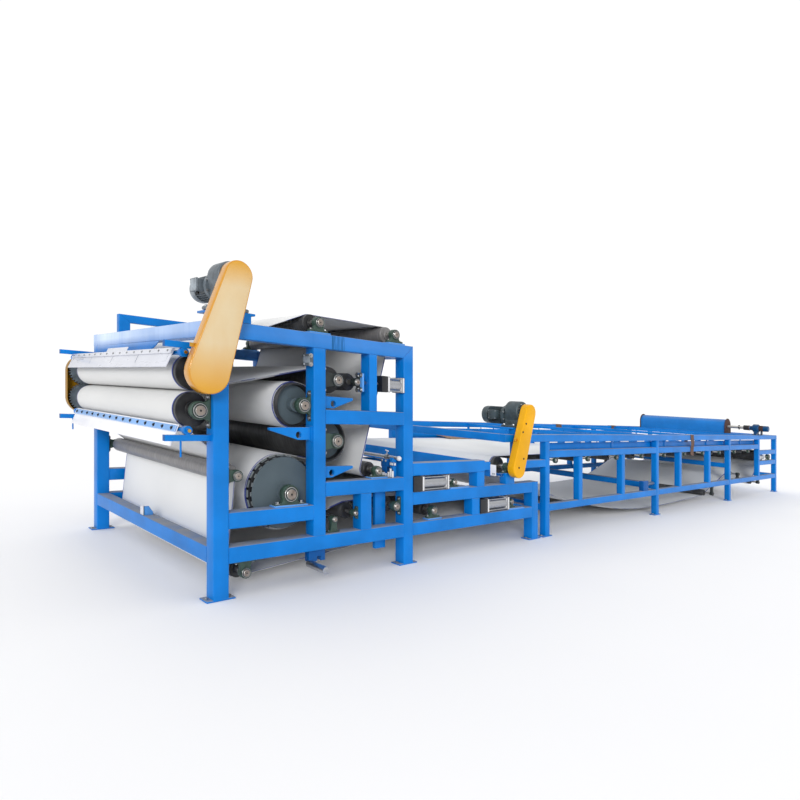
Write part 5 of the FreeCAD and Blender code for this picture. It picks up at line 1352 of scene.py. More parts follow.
# Scrapers
@dataclass
class Scraper:
    """A doctor blade clamped to its cross shaft by lugs, with a bolted bar along one edge.

    Places along the blade are shares of its height.
    """

    model: Model
    node: str
    pivot: Axis
    blade: tuple[Point, Point]
    clamp: Point
    clamp_t: float
    sheet: Finish
    bar: Finish
    bolt_finish: Finish
    bolt_count: int
    bolt: float = 0.018
    second: Point | None = None
    bolt_inset: float = 0.080
    second_reach: Point = (0.75, 1.24)
    second_t: float = -0.004
    blade_t: float = 0.008
    overhang: float = 0.065
    shaft: float = 0.020
    lugs: int = 5
    lug_t: float = 0.016
    lug_inset: float = 0.060
    lug_reach: Point = (0.25, 0.75)
    nut_r: float = 0.016
    nut_l: float = 0.008

    def at(self, share: float, off: float = 0.0) -> Point:
        """A point along the blade, off its face."""
        (xa, za), (xb, zb) = self.blade
        length = math.hypot(xb - xa, zb - za)
        nx, nz = (zb - za) / length, -(xb - xa) / length
        return (xa + (xb - xa) * share + nx * off, za + (zb - za) * share + nz * off)

    def strip(self, low: float, high: float, thick: float) -> list[Point]:
        """The outline of a strip of the blade's face, this thick."""
        return [self.at(low), self.at(high), self.at(high, thick), self.at(low, thick)]

    def build(self) -> None:
        """Blade, bar, lugs, shaft and bolts."""
        box = self.model.extent(self.node)
        y0, y1 = self.model.belt.lo.y - self.overhang, self.model.belt.hi.y + self.overhang
        piece, bolts = Piece(self.node + "_dressed"), Bolts(self.node + "_bolts", self.bolt_finish)
        piece.prism(self.strip(0.0, 1.0, self.blade_t), y0, y1, self.sheet, 0.001)
        piece.prism(self.strip(*self.clamp, self.clamp_t), y0 + 0.002, y1 - 0.002, self.bar, 0.0015)
        lug = [self.at(share) for share in self.lug_reach] + [(self.pivot.x, self.pivot.z)]
        for y in spread(y0 + self.lug_inset, y1 - self.lug_inset, self.lugs):
            piece.prism(lug, y - self.lug_t / 2, y + self.lug_t / 2, DULL_BLUE, 0.002)
        piece.rod(self.pivot.at(box.lo.y), self.pivot.at(box.hi.y), self.shaft, FRAME_BLUE, 24)
        for y, out in ((box.lo.y, -self.nut_l), (box.hi.y, self.nut_l)):
            piece.rod(self.pivot.at(y), self.pivot.at(y + out), self.nut_r, LUG_BRASS, 6)
        if self.second:
            piece.prism(self.strip(*self.second_reach, self.second_t), *self.second, self.sheet, 0.001)
        piece.done(self.node, [self.node])
        (x0, z0), (x1, z1) = self.at(0.5), self.at(0.5, math.copysign(1.0, self.clamp_t))
        x, z = self.at(sum(self.clamp) / 2, self.clamp_t)
        for y in spread(y0 + self.bolt_inset, y1 - self.bolt_inset, self.bolt_count):
            bolts.add((x, y, z), (x1 - x0, 0.0, z1 - z0), self.bolt)
        bolts.done(self.node)


# Belts
@dataclass(frozen=True)
class Stop:
    """A roller that a belt goes round: inside the loop or outside it, next to it or over another belt."""

    roller: str
    inside: bool = True
    layer: int = 0


@dataclass
class Belt:
    """An endless belt round its rollers, with slight flutter where it runs free."""

    model: Model
    node: str
    stops: Sequence[Stop | tuple[Axis, float]]
    step: float = 0.05
    arc_step: float = math.radians(5.0)
    arc_reach: float = 4.0
    free_reach: float = 1.6
    free_radius: float = 1.0
    thick: float = 0.0024
    roller_gap: float = 0.0005
    solid_t: float = 0.006
    flutter: float = 0.006
    ripple: Point = (0.9, 0.8)
    rim_rate: float = 1.7
    rim_gain: float = 1.3
    rim_power: int = 8
    rim_seed: float = 3.0
    columns: int = 18
    rim_shares: tuple[float, ...] = (0.0, 0.004, 0.03)
    finish: Finish = CLOTH

    def wheels(self) -> list[tuple[Axis, float]]:
        """Each stop's axis and the belt's signed radius round it."""
        found = []
        for stop in self.stops:
            if not isinstance(stop, Stop):
                found.append(stop)
                continue
            out = self.roller_gap + self.solid_t / 2 + stop.layer * (self.solid_t + self.roller_gap)
            radius = self.model.barrel(stop.roller) + out
            found.append((self.model.axis(stop.roller), radius if stop.inside else -radius))
        return found

    def line(self) -> list[tuple[float, float, float, float]]:
        """The loop as points: x, z, heading, and how free the belt is there, 0 on a roller and 1 midway."""
        wheels = self.wheels()
        ahead = wheels[1:] + wheels[:1]
        headings = []
        for (centre, r0), (other, r1) in zip(wheels, ahead):
            dx, dz = other.x - centre.x, other.z - centre.z
            headings.append(math.atan2(dz, dx) - math.asin((r1 - r0) / math.hypot(dx, dz)))
        found = []
        for k, ((centre, radius), (other, r1)) in enumerate(zip(wheels, ahead)):
            before, after = headings[k - 1], headings[k]
            turn = (after - before) % (2 * math.pi) - (2 * math.pi if radius < 0 else 0)
            reach = min(self.arc_step, self.step * self.arc_reach / abs(radius))
            parts = max(2, math.ceil(abs(turn) / reach))
            for i in range(parts + 1):
                a = before + turn * i / parts
                free = math.sin(math.pi * i / parts) if abs(radius) > self.free_radius else 0.0
                found.append((centre.x + radius * math.sin(a), centre.z - radius * math.cos(a), a, free))
            x0, z0 = found[-1][:2]
            dx, dz = other.x + r1 * math.sin(after) - x0, other.z - r1 * math.cos(after) - z0
            parts = max(1, round(math.hypot(dx, dz) / (self.step * self.free_reach)))
            found += [(x0 + dx * i / parts, z0 + dz * i / parts, after, math.sin(math.pi * i / parts))
                      for i in range(1, parts)]
        return found

    def lift(self, along: float, y: float, share: float) -> float:
        """How far the free cloth flutters off its line, more at its edges."""
        x_rate, y_rate = self.ripple
        wave = noise.noise(Vector((along * x_rate, y * y_rate, len(self.node))))
        rim = abs(2 * share - 1) ** self.rim_power * self.rim_gain
        return self.flutter * (wave + rim * noise.noise(Vector((along * self.rim_rate, y, self.rim_seed))))

    def build(self) -> None:
        """Lay the cloth round the loop."""
        line, box = self.line(), self.model.extent(self.node)
        shares = [*self.rim_shares, *(k / self.columns for k in range(1, self.columns)),
                  *(1 - share for share in reversed(self.rim_shares))]
        ys, travel = [box.lo.y + box.size.y * share for share in shares], [0.0]
        for a, b in zip(line, line[1:] + line[:1]):
            travel.append(travel[-1] + math.hypot(b[0] - a[0], b[1] - a[1]))
        grids: list[list[list[Vector]]] = [[], []]
        for (x, z, a, free), along in zip(line, travel):
            lifts = [free * self.lift(along, y, share) for y, share in zip(ys, shares)]
            for grid, side in zip(grids, (-self.thick / 2, self.thick / 2)):
                grid.append([Vector((x - (lift + side) * math.sin(a), y, z + (lift + side) * math.cos(a)))
                             for y, lift in zip(ys, lifts)])
        piece = Piece(self.node + "_cloth")
        piece.slab(grids, self.finish, lambda row, column: (travel[row], shares[column] * box.size.y))
        made = piece.done(FRAME, [self.node], CLOTH_CREASE)
        rests = [stop.roller + "_turned" for stop in self.stops if isinstance(stop, Stop)]
        LOG.info("%s: %.2f m round", self.node, travel[-1])


# Drives
def oblong(low: Axis, r_low: float, high: Axis, r_high: float, facets: int = 32) -> list[Point]:
    """The outline round two circles, its upper end in this many facets."""
    lean = math.atan2(high.z - low.z, high.x - low.x)
    half = math.acos((r_low - r_high) / math.hypot(high.x - low.x, high.z - low.z))
    points = []
    for centre, radius, start, sweep, steps in ((high, r_high, lean - half, 2 * half, facets),
                                                (low, r_low, lean + half, 2 * (math.pi - half), 32)):
        for k in range(steps + 1):
            a = start + sweep * k / steps
            points.append((centre.x + radius * math.cos(a), centre.z + radius * math.sin(a)))
    return points


def rings_of(start: float, *runs: tuple[Finish, Sequence[Point]]) -> list[Ring]:
    """Rings from runs of (radius, y) points that share a finish, y counted from the start."""
    return [(radius, start + y, finish) for finish, points in runs for radius, y in points]


def add_fins(piece: Piece, axis: Axis, count: int, rims: Sequence[Point], span: Point,
             finish: Finish) -> None:
    """Cooling fins about an axis.

    Args:
        piece: The piece that they are added to.
        axis: Their axis.
        count: How many.
        rims: Radius and half thickness at the root and at the rim.
        span: Their first and last y.
        finish: Their finish.
    """
    (root, thick), (rim, thin) = rims
    for out in spokes(count):
        side = Vector((-out.z, 0.0, out.x))
        corners = [out * root - side * thick, out * rim - side * thin,
                   out * rim + side * thin, out * root + side * thick]
        piece.prism([(axis.x + c.x, axis.z + c.z) for c in corners], *span, finish)


@dataclass
class ChainGuard:
    """A sheet guard round two shafts, with a rounded front edge."""

    model: Model
    node: str
    roller: str
    top_radius: float
    finish: Finish
    bracket: Point
    lugs: tuple[Point, ...] = ()
    screws: tuple[Point, ...] = ()
    facets: int = 32
    edge: float = 0.012
    edge_steps: int = 4
    deep: float = 0.100
    screw: float = 0.013

    def circles(self) -> tuple[tuple[Axis, float], tuple[Axis, float]]:
        """Axis and radius of the lower and of the upper end."""
        box, low = self.model.extent(self.node), self.model.axis(self.roller)
        high = Axis(box.hi.x - self.top_radius, box.hi.z - self.top_radius)
        return (low, low.z - box.lo.z), (high, self.top_radius)

    def outline(self, inset: float) -> list[Point]:
        """The outline, moved in by the inset."""
        (low, r_low), (high, r_high) = self.circles()
        return oblong(low, r_low - inset, high, r_high - inset, self.facets)

    def build(self) -> None:
        """The case, its bracket, its lugs and its screws."""
        box = self.model.extent(self.node)
        front, back = box.lo.y, box.lo.y + self.deep
        piece, bolts = Piece(self.node + "_case"), Bolts(self.node + "_screws", DARK_BOLT)
        turns = spread(0.0, math.pi / 2, self.edge_steps + 1)
        rings = [(front + self.edge * (1 - math.cos(a)), self.edge * (1 - math.sin(a))) for a in turns]
        rings += [(back - 0.006, 0.0), (back, 0.002)]
        piece.loft([(y, self.outline(inset)) for y, inset in rings], self.finish)
        x, z = self.bracket
        piece.block((x - 0.03, back, z - 0.03), (x + 0.03, box.hi.y, z + 0.03), DULL_BLUE)
        for x, z in self.lugs:
            low, high = (x - 0.030, front + 0.040, z - 0.016), (x + 0.030, front + 0.048, z + 0.016)
            piece.block(low, high, LUG_BRASS)
        piece.done(FRAME, [self.node])
        for x, z in self.screws:
            bolts.add((x, front, z), -ACROSS, self.screw)
        if self.screws:
            bolts.done(FRAME)


@dataclass
class GearMotor:
    """A foot-mounted gearmotor along Y: gear case, finned motor set lower, cowl and terminal box."""

    model: Model
    node: str
    guard: ChainGuard
    paint: Finish = MOTOR_GREY
    cowl: Finish = COWL_GREY
    lid: Finish = BOX_GREY
    gap: float = 0.130
    drop: float = 0.062
    radius: float = 0.118
    case_r: float = 0.135
    case_l: float = 0.25
    flange_t: float = 0.03
    motor_l: float = 0.23
    boss: float = 0.075
    fins: int = 30
    foot_x: float = 0.115
    foot_half: float = 0.053
    foot_t: float = 0.030
    foot_bolt_x: float = 0.140
    flange_bolts: int = 8
    case_bolt_r: float = 0.100

    def __post_init__(self) -> None:
        """Find the shaft, the motor's axis and the ends of case and flange."""
        self.box = self.model.extent(self.node)
        self.out = self.guard.circles()[1][0]
        self.axis = Axis(self.out.x, self.out.z - self.drop)
        self.start = self.model.extent(self.guard.node).lo.y + self.gap
        self.case_end = self.start + self.case_l
        self.motor_start = self.case_end + self.flange_t
        self.piece, self.bolts = Piece(self.node + "_dressed"), Bolts(self.node + "_bolts")

    def case(self) -> None:
        """The output boss and the two steps of the gear case."""
        piece, grey, y0, y1, boss = self.piece, self.paint, self.start, self.case_end, self.boss
        profile = [(0.0, -0.018), (boss - 0.005, -0.018), (boss, -0.012), (boss, 0.01), (0.0, 0.01)]
        piece.turn(rings_of(y0, (grey, profile)), self.out, 40)
        front = oblong(self.axis, self.case_r - 0.022, self.out, self.case_r)
        back = oblong(self.axis, self.case_r - 0.034, self.out, self.case_r - 0.040)
        piece.prism(front, y0, y1 - 0.045, grey, 0.020, 4)
        piece.prism(back, y1 - 0.060, y1, grey, 0.012, 3)

    def motor(self) -> None:
        """Flange, motor and cowl, with the fins between them."""
        r, flange, length, end = self.radius, self.flange_t, self.motor_l, self.box.hi.y - self.motor_start
        rings = rings_of(
            self.motor_start,
            (self.paint, [(0.0, -flange - 0.02), (r * 1.12, -flange - 0.02), (r * 1.12, -0.004),
                          (r * 1.08, 0.0), (r * 0.86, 0.0), (r * 0.86, length)]),
            (self.cowl, [(r * 0.95, length), (r, length + 0.005), (r, end - 0.04), (r * 0.94, end - 0.012),
                         (r * 0.80, end), (0.0, end)]))
        self.piece.turn(rings, self.axis, 56)
        span = (self.motor_start + 0.004, self.motor_start + length - 0.002)
        add_fins(self.piece, self.axis, self.fins, ((r * 0.84, 0.0022), (r, 0.00132)), span, self.paint)

    def feet(self) -> None:
        """The web under the case and two bolted feet."""
        out, low, y0, y1 = self.out, self.box.lo.z, self.start, self.case_end
        web = [(out.x - 0.112, low + 0.02), (out.x + 0.112, low + 0.02), (out.x + 0.09, out.z - 0.05),
               (out.x - 0.09, out.z - 0.05)]
        self.piece.prism(web, y0 + 0.02, y1 - 0.03, self.paint, 0.014, 3)
        for side in (-1, 1):
            x, top = out.x + side * self.foot_x, low + self.foot_t
            self.piece.block((x - self.foot_half, y0 + 0.015, low), (x + self.foot_half, y1 - 0.015, top),
                             self.paint, 0.010)
            for y in (y0 + 0.05, y1 - 0.05):
                self.bolts.add((out.x + side * self.foot_bolt_x, y, top), UP, 0.026)

    def flange(self) -> None:
        """The bolts round the motor's flange and round the output boss."""
        for way in spokes(self.flange_bolts, 0.5):
            self.bolts.add(self.axis.at(self.case_end - 0.02) + way * (self.radius * 1.04), -ACROSS, 0.014)
            self.bolts.add(self.out.at(self.start) + way * self.case_bolt_r, -ACROSS, 0.014)

    def terminal_box(self) -> None:
        """The box on the motor's side, its screwed lid and its cable gland."""
        z, y, x = self.axis.z, self.motor_start, self.axis.x - self.radius
        self.piece.block((x - 0.046, y + 0.032, z - 0.050),
                         (self.axis.x - self.radius * 0.80, y + 0.158, z + 0.062), self.paint, 0.008)
        self.piece.block((x - 0.060, y + 0.028, z - 0.054), (x - 0.044, y + 0.162, z + 0.066),
                         self.lid, 0.006)
        for dy in (0.042, 0.148):
            for dz in (-0.042, 0.054):
                self.bolts.add((x - 0.060, y + dy, z + dz), -ALONG, 0.007)
        gland = Vector((x - 0.020, y + 0.095, z - 0.072))
        self.piece.rod(gland, gland + UP * 0.03, 0.014, SEAL_BLACK)

    def build(self) -> None:
        """All parts of the gearmotor."""
        self.case()
        self.motor()
        self.feet()
        self.flange()
        self.terminal_box()
        self.piece.done(FRAME, [self.node])
        self.bolts.done(FRAME)


@dataclass
class FeedDrive:
    """The feed roller's gearmotor: a round gear case on a foot, a necked output and a browned motor."""

    model: Model
    axis: Axis
    node: str = "feed_gearmotor"
    star_y: float = 0.350
    star_t: float = 0.030
    star_r: Point = (0.038, 0.016)
    lobes: int = 4
    lobe_steps: int = 12
    hub: Point = (-0.022, 0.052)
    hub_r: float = 0.030
    fins: int = 20
    flange_bolts: int = 6
    bolt_r: float = 0.076

    def star(self) -> list[Point]:
        """The coupling's lobed outline."""
        points, (middle, swing) = [], self.star_r
        for out in spokes(self.lobe_steps * self.lobes):
            r = middle + swing * math.cos(self.lobes * math.atan2(out.z, out.x))
            points.append((self.axis.x + r * out.x, self.axis.z + r * out.z))
        return points

    def coupling(self) -> None:
        """The star coupling on its hub."""
        piece, start, (front, back), r = Piece("feed_coupling_star"), self.star_y, self.hub, self.hub_r
        piece.prism(self.star(), start, start + self.star_t, CYLINDER_BASE, 0.004)
        profile = [(0.0, front), (r, front), (r, back), (0.0, back)]
        piece.turn(rings_of(start, (SHAFT_STEEL, profile)), self.axis, 32)
        piece.done(FRAME)

    def build(self) -> None:
        """Turn the case and motor, then add fins, foot, coupling and bolts."""
        box, x, z = self.model.extent(self.node), self.axis.x, self.axis.z
        piece, bolts = Piece(self.node + "_dressed"), Bolts(self.node + "_bolts")
        end, base, blue = box.lo.y, box.lo.z, DRIVE_BLUE
        rings = rings_of(
            end,
            (blue, [(0.0, 0.0), (0.054, 0.0), (0.066, 0.010), (0.068, 0.105)]),
            (FLANGE_BROWN, [(0.062, 0.108)]),
            (blue, [(0.062, 0.198), (0.088, 0.202), (0.095, 0.214), (0.095, 0.310), (0.086, 0.326),
                    (0.056, 0.340), (0.048, 0.400)]),
            (FLANGE_BROWN, [(0.062, 0.404), (0.062, 0.420)]),
            (SHAFT_STEEL, [(0.020, 0.424), (0.0, 0.424)]))
        piece.turn(rings, self.axis, 48)
        rims = ((0.060, 0.002), (0.067, 0.002))
        add_fins(piece, self.axis, self.fins, rims, (end + 0.110, end + 0.196), FLANGE_BROWN)
        web = [(x - 0.085, base + 0.016), (x + 0.085, base + 0.016), (x + 0.055, z), (x - 0.055, z)]
        piece.prism(web, end + 0.225, end + 0.300, blue, 0.008)
        piece.block((x - 0.095, end + 0.205, base), (x + 0.095, end + 0.325, base + 0.018), blue, 0.004)
        piece.block((x - 0.050, end + 0.140, base), (x + 0.050, end + 0.160, z - 0.050), SEAL_BLACK, 0.004)
        piece.block((x - 0.030, end + 0.235, z + 0.070), (x + 0.030, end + 0.290, box.hi.z), blue, 0.006)
        for side in (-1, 1):
            for y in (end + 0.225, end + 0.305):
                bolts.add((x + side * 0.080, y, base + 0.018), UP, 0.018)
        for out in spokes(self.flange_bolts, 0.5):
            bolts.add(self.axis.at(end + 0.203) + out * self.bolt_r, -ACROSS, 0.012)
        piece.done(FRAME, [self.node])
        self.coupling()
        bolts.done(FRAME)


# Small fittings
@dataclass
class Fittings:
    """Bare plates and small parts bolted or welded to the frames."""

    model: Model
    span: float = 3.12
    board_x: Point = (4.87, 13.60)
    board_z: Point = (1.135, 1.286)
    board_in: float = 0.044
    board_t: float = 0.006
    board_pitch: float = 1.1
    board_end: float = 0.12
    rail_in: float = 0.030
    apron_x: float = 3.832
    apron_t: float = 0.004
    apron_y: Point = (0.050, 3.070)
    apron_z: Point = (0.864, 1.006)
    angle_z: Point = (0.872, 0.908)
    angle_reach: Point = (-0.030, 0.110)
    angle_long: float = 0.046
    nipple_z: float = 0.946
    nipples: tuple[tuple[float, float, float], ...] = (
        (-0.045, 1.030, 0.011), (-0.012, 1.052, 0.011), (0.022, 1.012, 0.011), (0.110, 1.000, 0.020))
    skirt_x: Point = (5.80, 7.10)
    skirt_y: Point = (2.640, 3.000)
    skirt_t: float = 0.012
    skirt_gap: float = 0.008
    skirt_rise: float = 0.030
    skirt_ragged: float = 0.035
    skirt_cells: tuple[int, int] = (26, 4)
    strap_path: tuple[Point, ...] = (
        (0.112, 1.300), (0.110, 1.380), (0.104, 1.4145), (0.050, 1.4150), (0.002, 1.4145), (-0.006, 1.400),
        (-0.010, 1.320), (-0.018, 1.260), (-0.014, 1.200), (-0.006, 1.150), (-0.005, 1.090))
    strap_ends: Point = (0.118, -0.012)
    strap_t: float = 0.003

    def sides(self) -> tuple[tuple[float, int], ...]:
        """Outer face of each side frame, and the way inwards."""
        return ((0.0, 1), (self.span, -1))

    def boards(self) -> None:
        """A side board inside each table frame, on spacers bolted to the middle rail."""
        piece, bolts = Piece("table_side_boards"), Bolts("table_board_bolts")
        (x0, x1), (z0, z1) = self.board_x, self.board_z
        count = round((x1 - x0) / self.board_pitch) + 1
        for face, side in self.sides():
            y, y0 = face + side * self.rail_in, face + side * self.board_in
            y1 = y0 + side * self.board_t
            piece.block((x0, min(y0, y1), z0), (x1, max(y0, y1), z1), FRAME_BLUE, 0.0015)
            for x in spread(x0 + self.board_end, x1 - self.board_end, count):
                low, high = (x - 0.02, min(y, y0), z0 + 0.01), (x + 0.02, max(y, y0), z0 + 0.05)
                piece.block(low, high, FRAME_BLUE, 0.001)
                bolts.add((x, y1, z0 + 0.03), (0, side, 0), 0.018)
        piece.done(FRAME)
        bolts.done(FRAME)

    def apron(self) -> None:
        """The white apron in front of the drive roller, on two angles from the pedestals."""
        piece, bolts = Piece("drive_roller_apron"), Bolts("apron_bolts")
        x, back = self.apron_x, self.apron_x + self.apron_t
        (y0, y1), (z0, z1), (low, high) = self.apron_y, self.apron_z, self.angle_z
        piece.block((x, y0, z0), (back, y1, z1), BLADE_WHITE, 0.001)
        start, reach = self.angle_reach
        for face, side in self.sides():
            for end, deep in ((reach, 0.005), (start + 0.006, self.angle_long)):
                near, far = sorted((face + side * start, face + side * end))
                piece.block((back, near, low), (back + deep, far, high), DULL_BLUE, 0.001)
            for y in (0.075, 0.100):
                bolts.add((x, face + side * y, (low + high) / 2), -ALONG, 0.010)
        piece.done(FRAME)
        bolts.done(FRAME)

    def press_parts(self) -> None:
        """The clamp block on the second post and the bracket on the low front tube."""
        piece, bolts = Piece("press_small_parts"), Bolts("clamp_block_bolts")
        piece.block((0.880, -0.062, 2.054), (0.936, 0.036, 2.166), MOTOR_GREY, 0.006)
        piece.block((0.872, -0.070, 2.076), (0.890, 0.020, 2.144), COWL_GREY, 0.004)
        for z in (2.068, 2.152):
            bolts.add((0.908, -0.062, z), -ACROSS, 0.020)
            bolts.add((0.880, 0.020, z), -ALONG, 0.018)
        gusset = [(-0.062, 0.441), (0.034, 0.441), (0.034, 0.470), (-0.010, 0.535), (-0.062, 0.535)]
        piece.prism(gusset, 1.540, 1.548, PALE_BLUE, 0.001)
        piece.block((-0.062, 1.540, 0.441), (-0.054, 1.640, 0.535), BLADE_METAL, 0.001)
        piece.done(FRAME)
        bolts.done(FRAME)

    def wash_fittings(self, x: float = 2.030, top: float = 1.150) -> None:
        """Clamp, thumb screw and hose nipples at the near end of the wash pipe.

        Args:
            x: The pipe's place along the machine.
            top: The height of its axis.
        """
        piece, bolts = Piece("wash_pipe_fittings"), Bolts("wash_clamp_bolts")
        piece.block((x - 0.046, 0.075, top - 0.105), (x + 0.046, 0.175, top - 0.020), DULL_BLUE, 0.004)
        for left, low in ((-0.046, -0.175), (0.030, -0.205)):
            right = left + 0.016
            piece.block((x + left, 0.085, top + low), (x + right, 0.165, top - 0.100), DULL_BLUE, 0.003)
        piece.rod(Vector((x, 0.125, top)), Vector((x, 0.125, top + 0.062)), 0.006, BOLT_STEEL, 12)
        piece.rod(Vector((x, 0.100, top + 0.062)), Vector((x, 0.150, top + 0.070)), 0.006, CYLINDER_CAP, 12)
        profile = [(0.026, 0.110), (0.031, 0.112), (0.031, 0.138), (0.026, 0.140), (0.026, 0.110)]
        piece.turn(rings_of(0.0, (RACE_STEEL, profile)), Axis(x, top), 32)
        piece.block((x - 0.040, -0.030, top - 0.085), (x - 0.004, 0.040, top - 0.048), CYLINDER_CAP, 0.006)
        for y, high, radius in self.nipples:
            foot, neck, end = (Vector((x - 0.070, y, z)) for z in (self.nipple_z, high - 0.012, high))
            piece.rod(foot, neck, radius, CYLINDER_CAP, 20, 0.002)
            piece.rod(neck, end, radius * 0.6, SEAL_BLACK)
        for y in (0.095, 0.155):
            bolts.add((x - 0.046, y, top - 0.040), -ALONG, 0.014)
        piece.done(FRAME)
        bolts.done(FRAME)

    def soles(self) -> None:
        """Two anchor bolts on each foot plate."""
        bolts = Bolts("foot_plate_bolts")
        for box in self.model.solids("foot_plates"):
            for side in (-1, 1):
                x = box.centre.x + side * (box.size.x / 2 - 0.028)
                bolts.add((x, box.centre.y, box.hi.z), UP, 0.022)
        bolts.done(FRAME)

    def skirt_point(self, x: float, share: float, low: float) -> Vector:
        """A point of the worn board over a height: ragged along its near edge and warped upwards."""
        y0, y1 = self.skirt_y
        ragged = self.skirt_ragged * noise.noise(Vector((x * 9.0, 1.0, 4.0)))
        warp = self.skirt_rise * abs(noise.noise(Vector((x * 3.0, share, 7.0))))
        y = y0 + ragged * (1 - share) + (y1 - y0) * share
        return Vector((x, y, low + self.skirt_rise * share + warp))

    def worn_board(self) -> None:
        """The browned skirt board that lies loose along the gravity belt's far edge."""
        (columns, rows), idlers = self.skirt_cells, "idler_rollers"
        bed = self.model.axis(idlers).z + self.model.barrel(idlers) + self.skirt_gap
        xs, shares = spread(*self.skirt_x, columns + 1), spread(0.0, 1.0, rows + 1)
        grids = [[[self.skirt_point(x, share, low) for share in shares] for x in xs]
                 for low in (bed, bed + self.skirt_t)]
        piece = Piece("worn_skirt_board")
        piece.slab(grids, WORN_BOARD)
        piece.done(FRAME)

    def strap(self, name: str, x: float, face: float, side: int, low: float, inner: float,
              half: float) -> None:
        """A webbing strap laid over a top rail and down past the middle one.

        Args:
            name: The piece's name.
            x: Its middle along the table.
            face: The rail's outer face.
            side: 1 where the rail's inner side has the larger y, else -1.
            low: Where its outer end hangs to.
            inner: Where its inner end hangs to.
            half: Half of its width.
        """
        first, last = self.strap_ends
        path = [(first, inner), *self.strap_path, (last, low)]
        grids: list[list[list[Vector]]] = [[], []]
        for (y, z), behind, ahead in zip(path, path[:1] + path[:-1], path[1:] + path[-1:]):
            run = (Vector(ahead) - Vector(behind)).normalized()
            for grid, off in zip(grids, (0.0, self.strap_t)):
                grid.append([])
                for dx in (-half, -half / 3, half / 3, half):
                    sway = 0.012 * math.sin(2.4 * z + x) + 0.002 * math.cos(60.0 * dx)
                    spot = (x + dx + sway, face + side * (y - off * run.y), z + off * run.x)
                    grid[-1].append(Vector(spot))
        piece = Piece(name)
        piece.slab(grids, WEBBING)
        made = piece.done(FRAME, (), CLOTH_CREASE)
        length = sum(math.dist(a, b) for a, b in zip(path, path[1:]))

    def build(self) -> None:
        """Every fitting."""
        self.boards()
        self.apron()
        self.press_parts()
        self.wash_fittings()
        self.soles()
        self.worn_board()
        self.strap("table_strap_near", 9.69, -0.070, 1, 1.02, 1.27, 0.072)
        self.strap("table_strap_far", 10.01, self.span + 0.070, -1, 1.05, 1.23, 0.115)
        self.strap("table_strap_tail", 12.61, self.span + 0.070, -1, 1.05, 1.19, 0.115)


# Cylinders
@dataclass
class AirCylinders:
    """The six pneumatic cylinders: black base, white covers, alloy tube."""

    model: Model
    base: float = 0.13
    short: float = 0.4
    short_share: float = 0.6
    cover: float = 0.036
    cover_share: float = 0.97
    tube_share: float = 0.86
    rod_share: float = 0.78
    rod: float = 0.007
    nut: float = 0.016

    def build(self) -> None:
        """Dress each solid of the node along X."""
        piece, bolts = Piece("air_cylinders_dressed"), Bolts("air_cylinder_screws")
        for box in self.model.solids("air_cylinders"):
            mid, cap, end = box.centre, box.size.z / 2, box.hi.x
            start = box.lo.x + self.base * (self.short_share if box.size.x < self.short else 1.0)
            blocks = ((box.lo.x, start, cap, CYLINDER_BASE, 0.006),
                      (start, start + self.cover, cap * self.cover_share, CYLINDER_CAP, 0.005),
                      (end - self.cover, end, cap * self.cover_share, CYLINDER_CAP, 0.005))
            for x0, x1, half, finish, bevel in blocks:
                piece.block((x0, mid.y - half, mid.z - half), (x1, mid.y + half, mid.z + half), finish, bevel)
            tube = [Vector((x, mid.y, mid.z)) for x in (start + self.cover, end - self.cover)]
            piece.rod(*tube, cap * self.tube_share, CYLINDER_ALLOY, 48)
            for dy in (-1, 1):
                for dz in (-1, 1):
                    y, z = mid.y + dy * cap * self.rod_share, mid.z + dz * cap * self.rod_share
                    piece.rod(Vector((start, y, z)), Vector((end, y, z)), self.rod, BOLT_STEEL, 12)
                    bolts.add((end, y, z), ALONG, self.nut)
        piece.done(FRAME, ["air_cylinders"])
        bolts.done(FRAME)


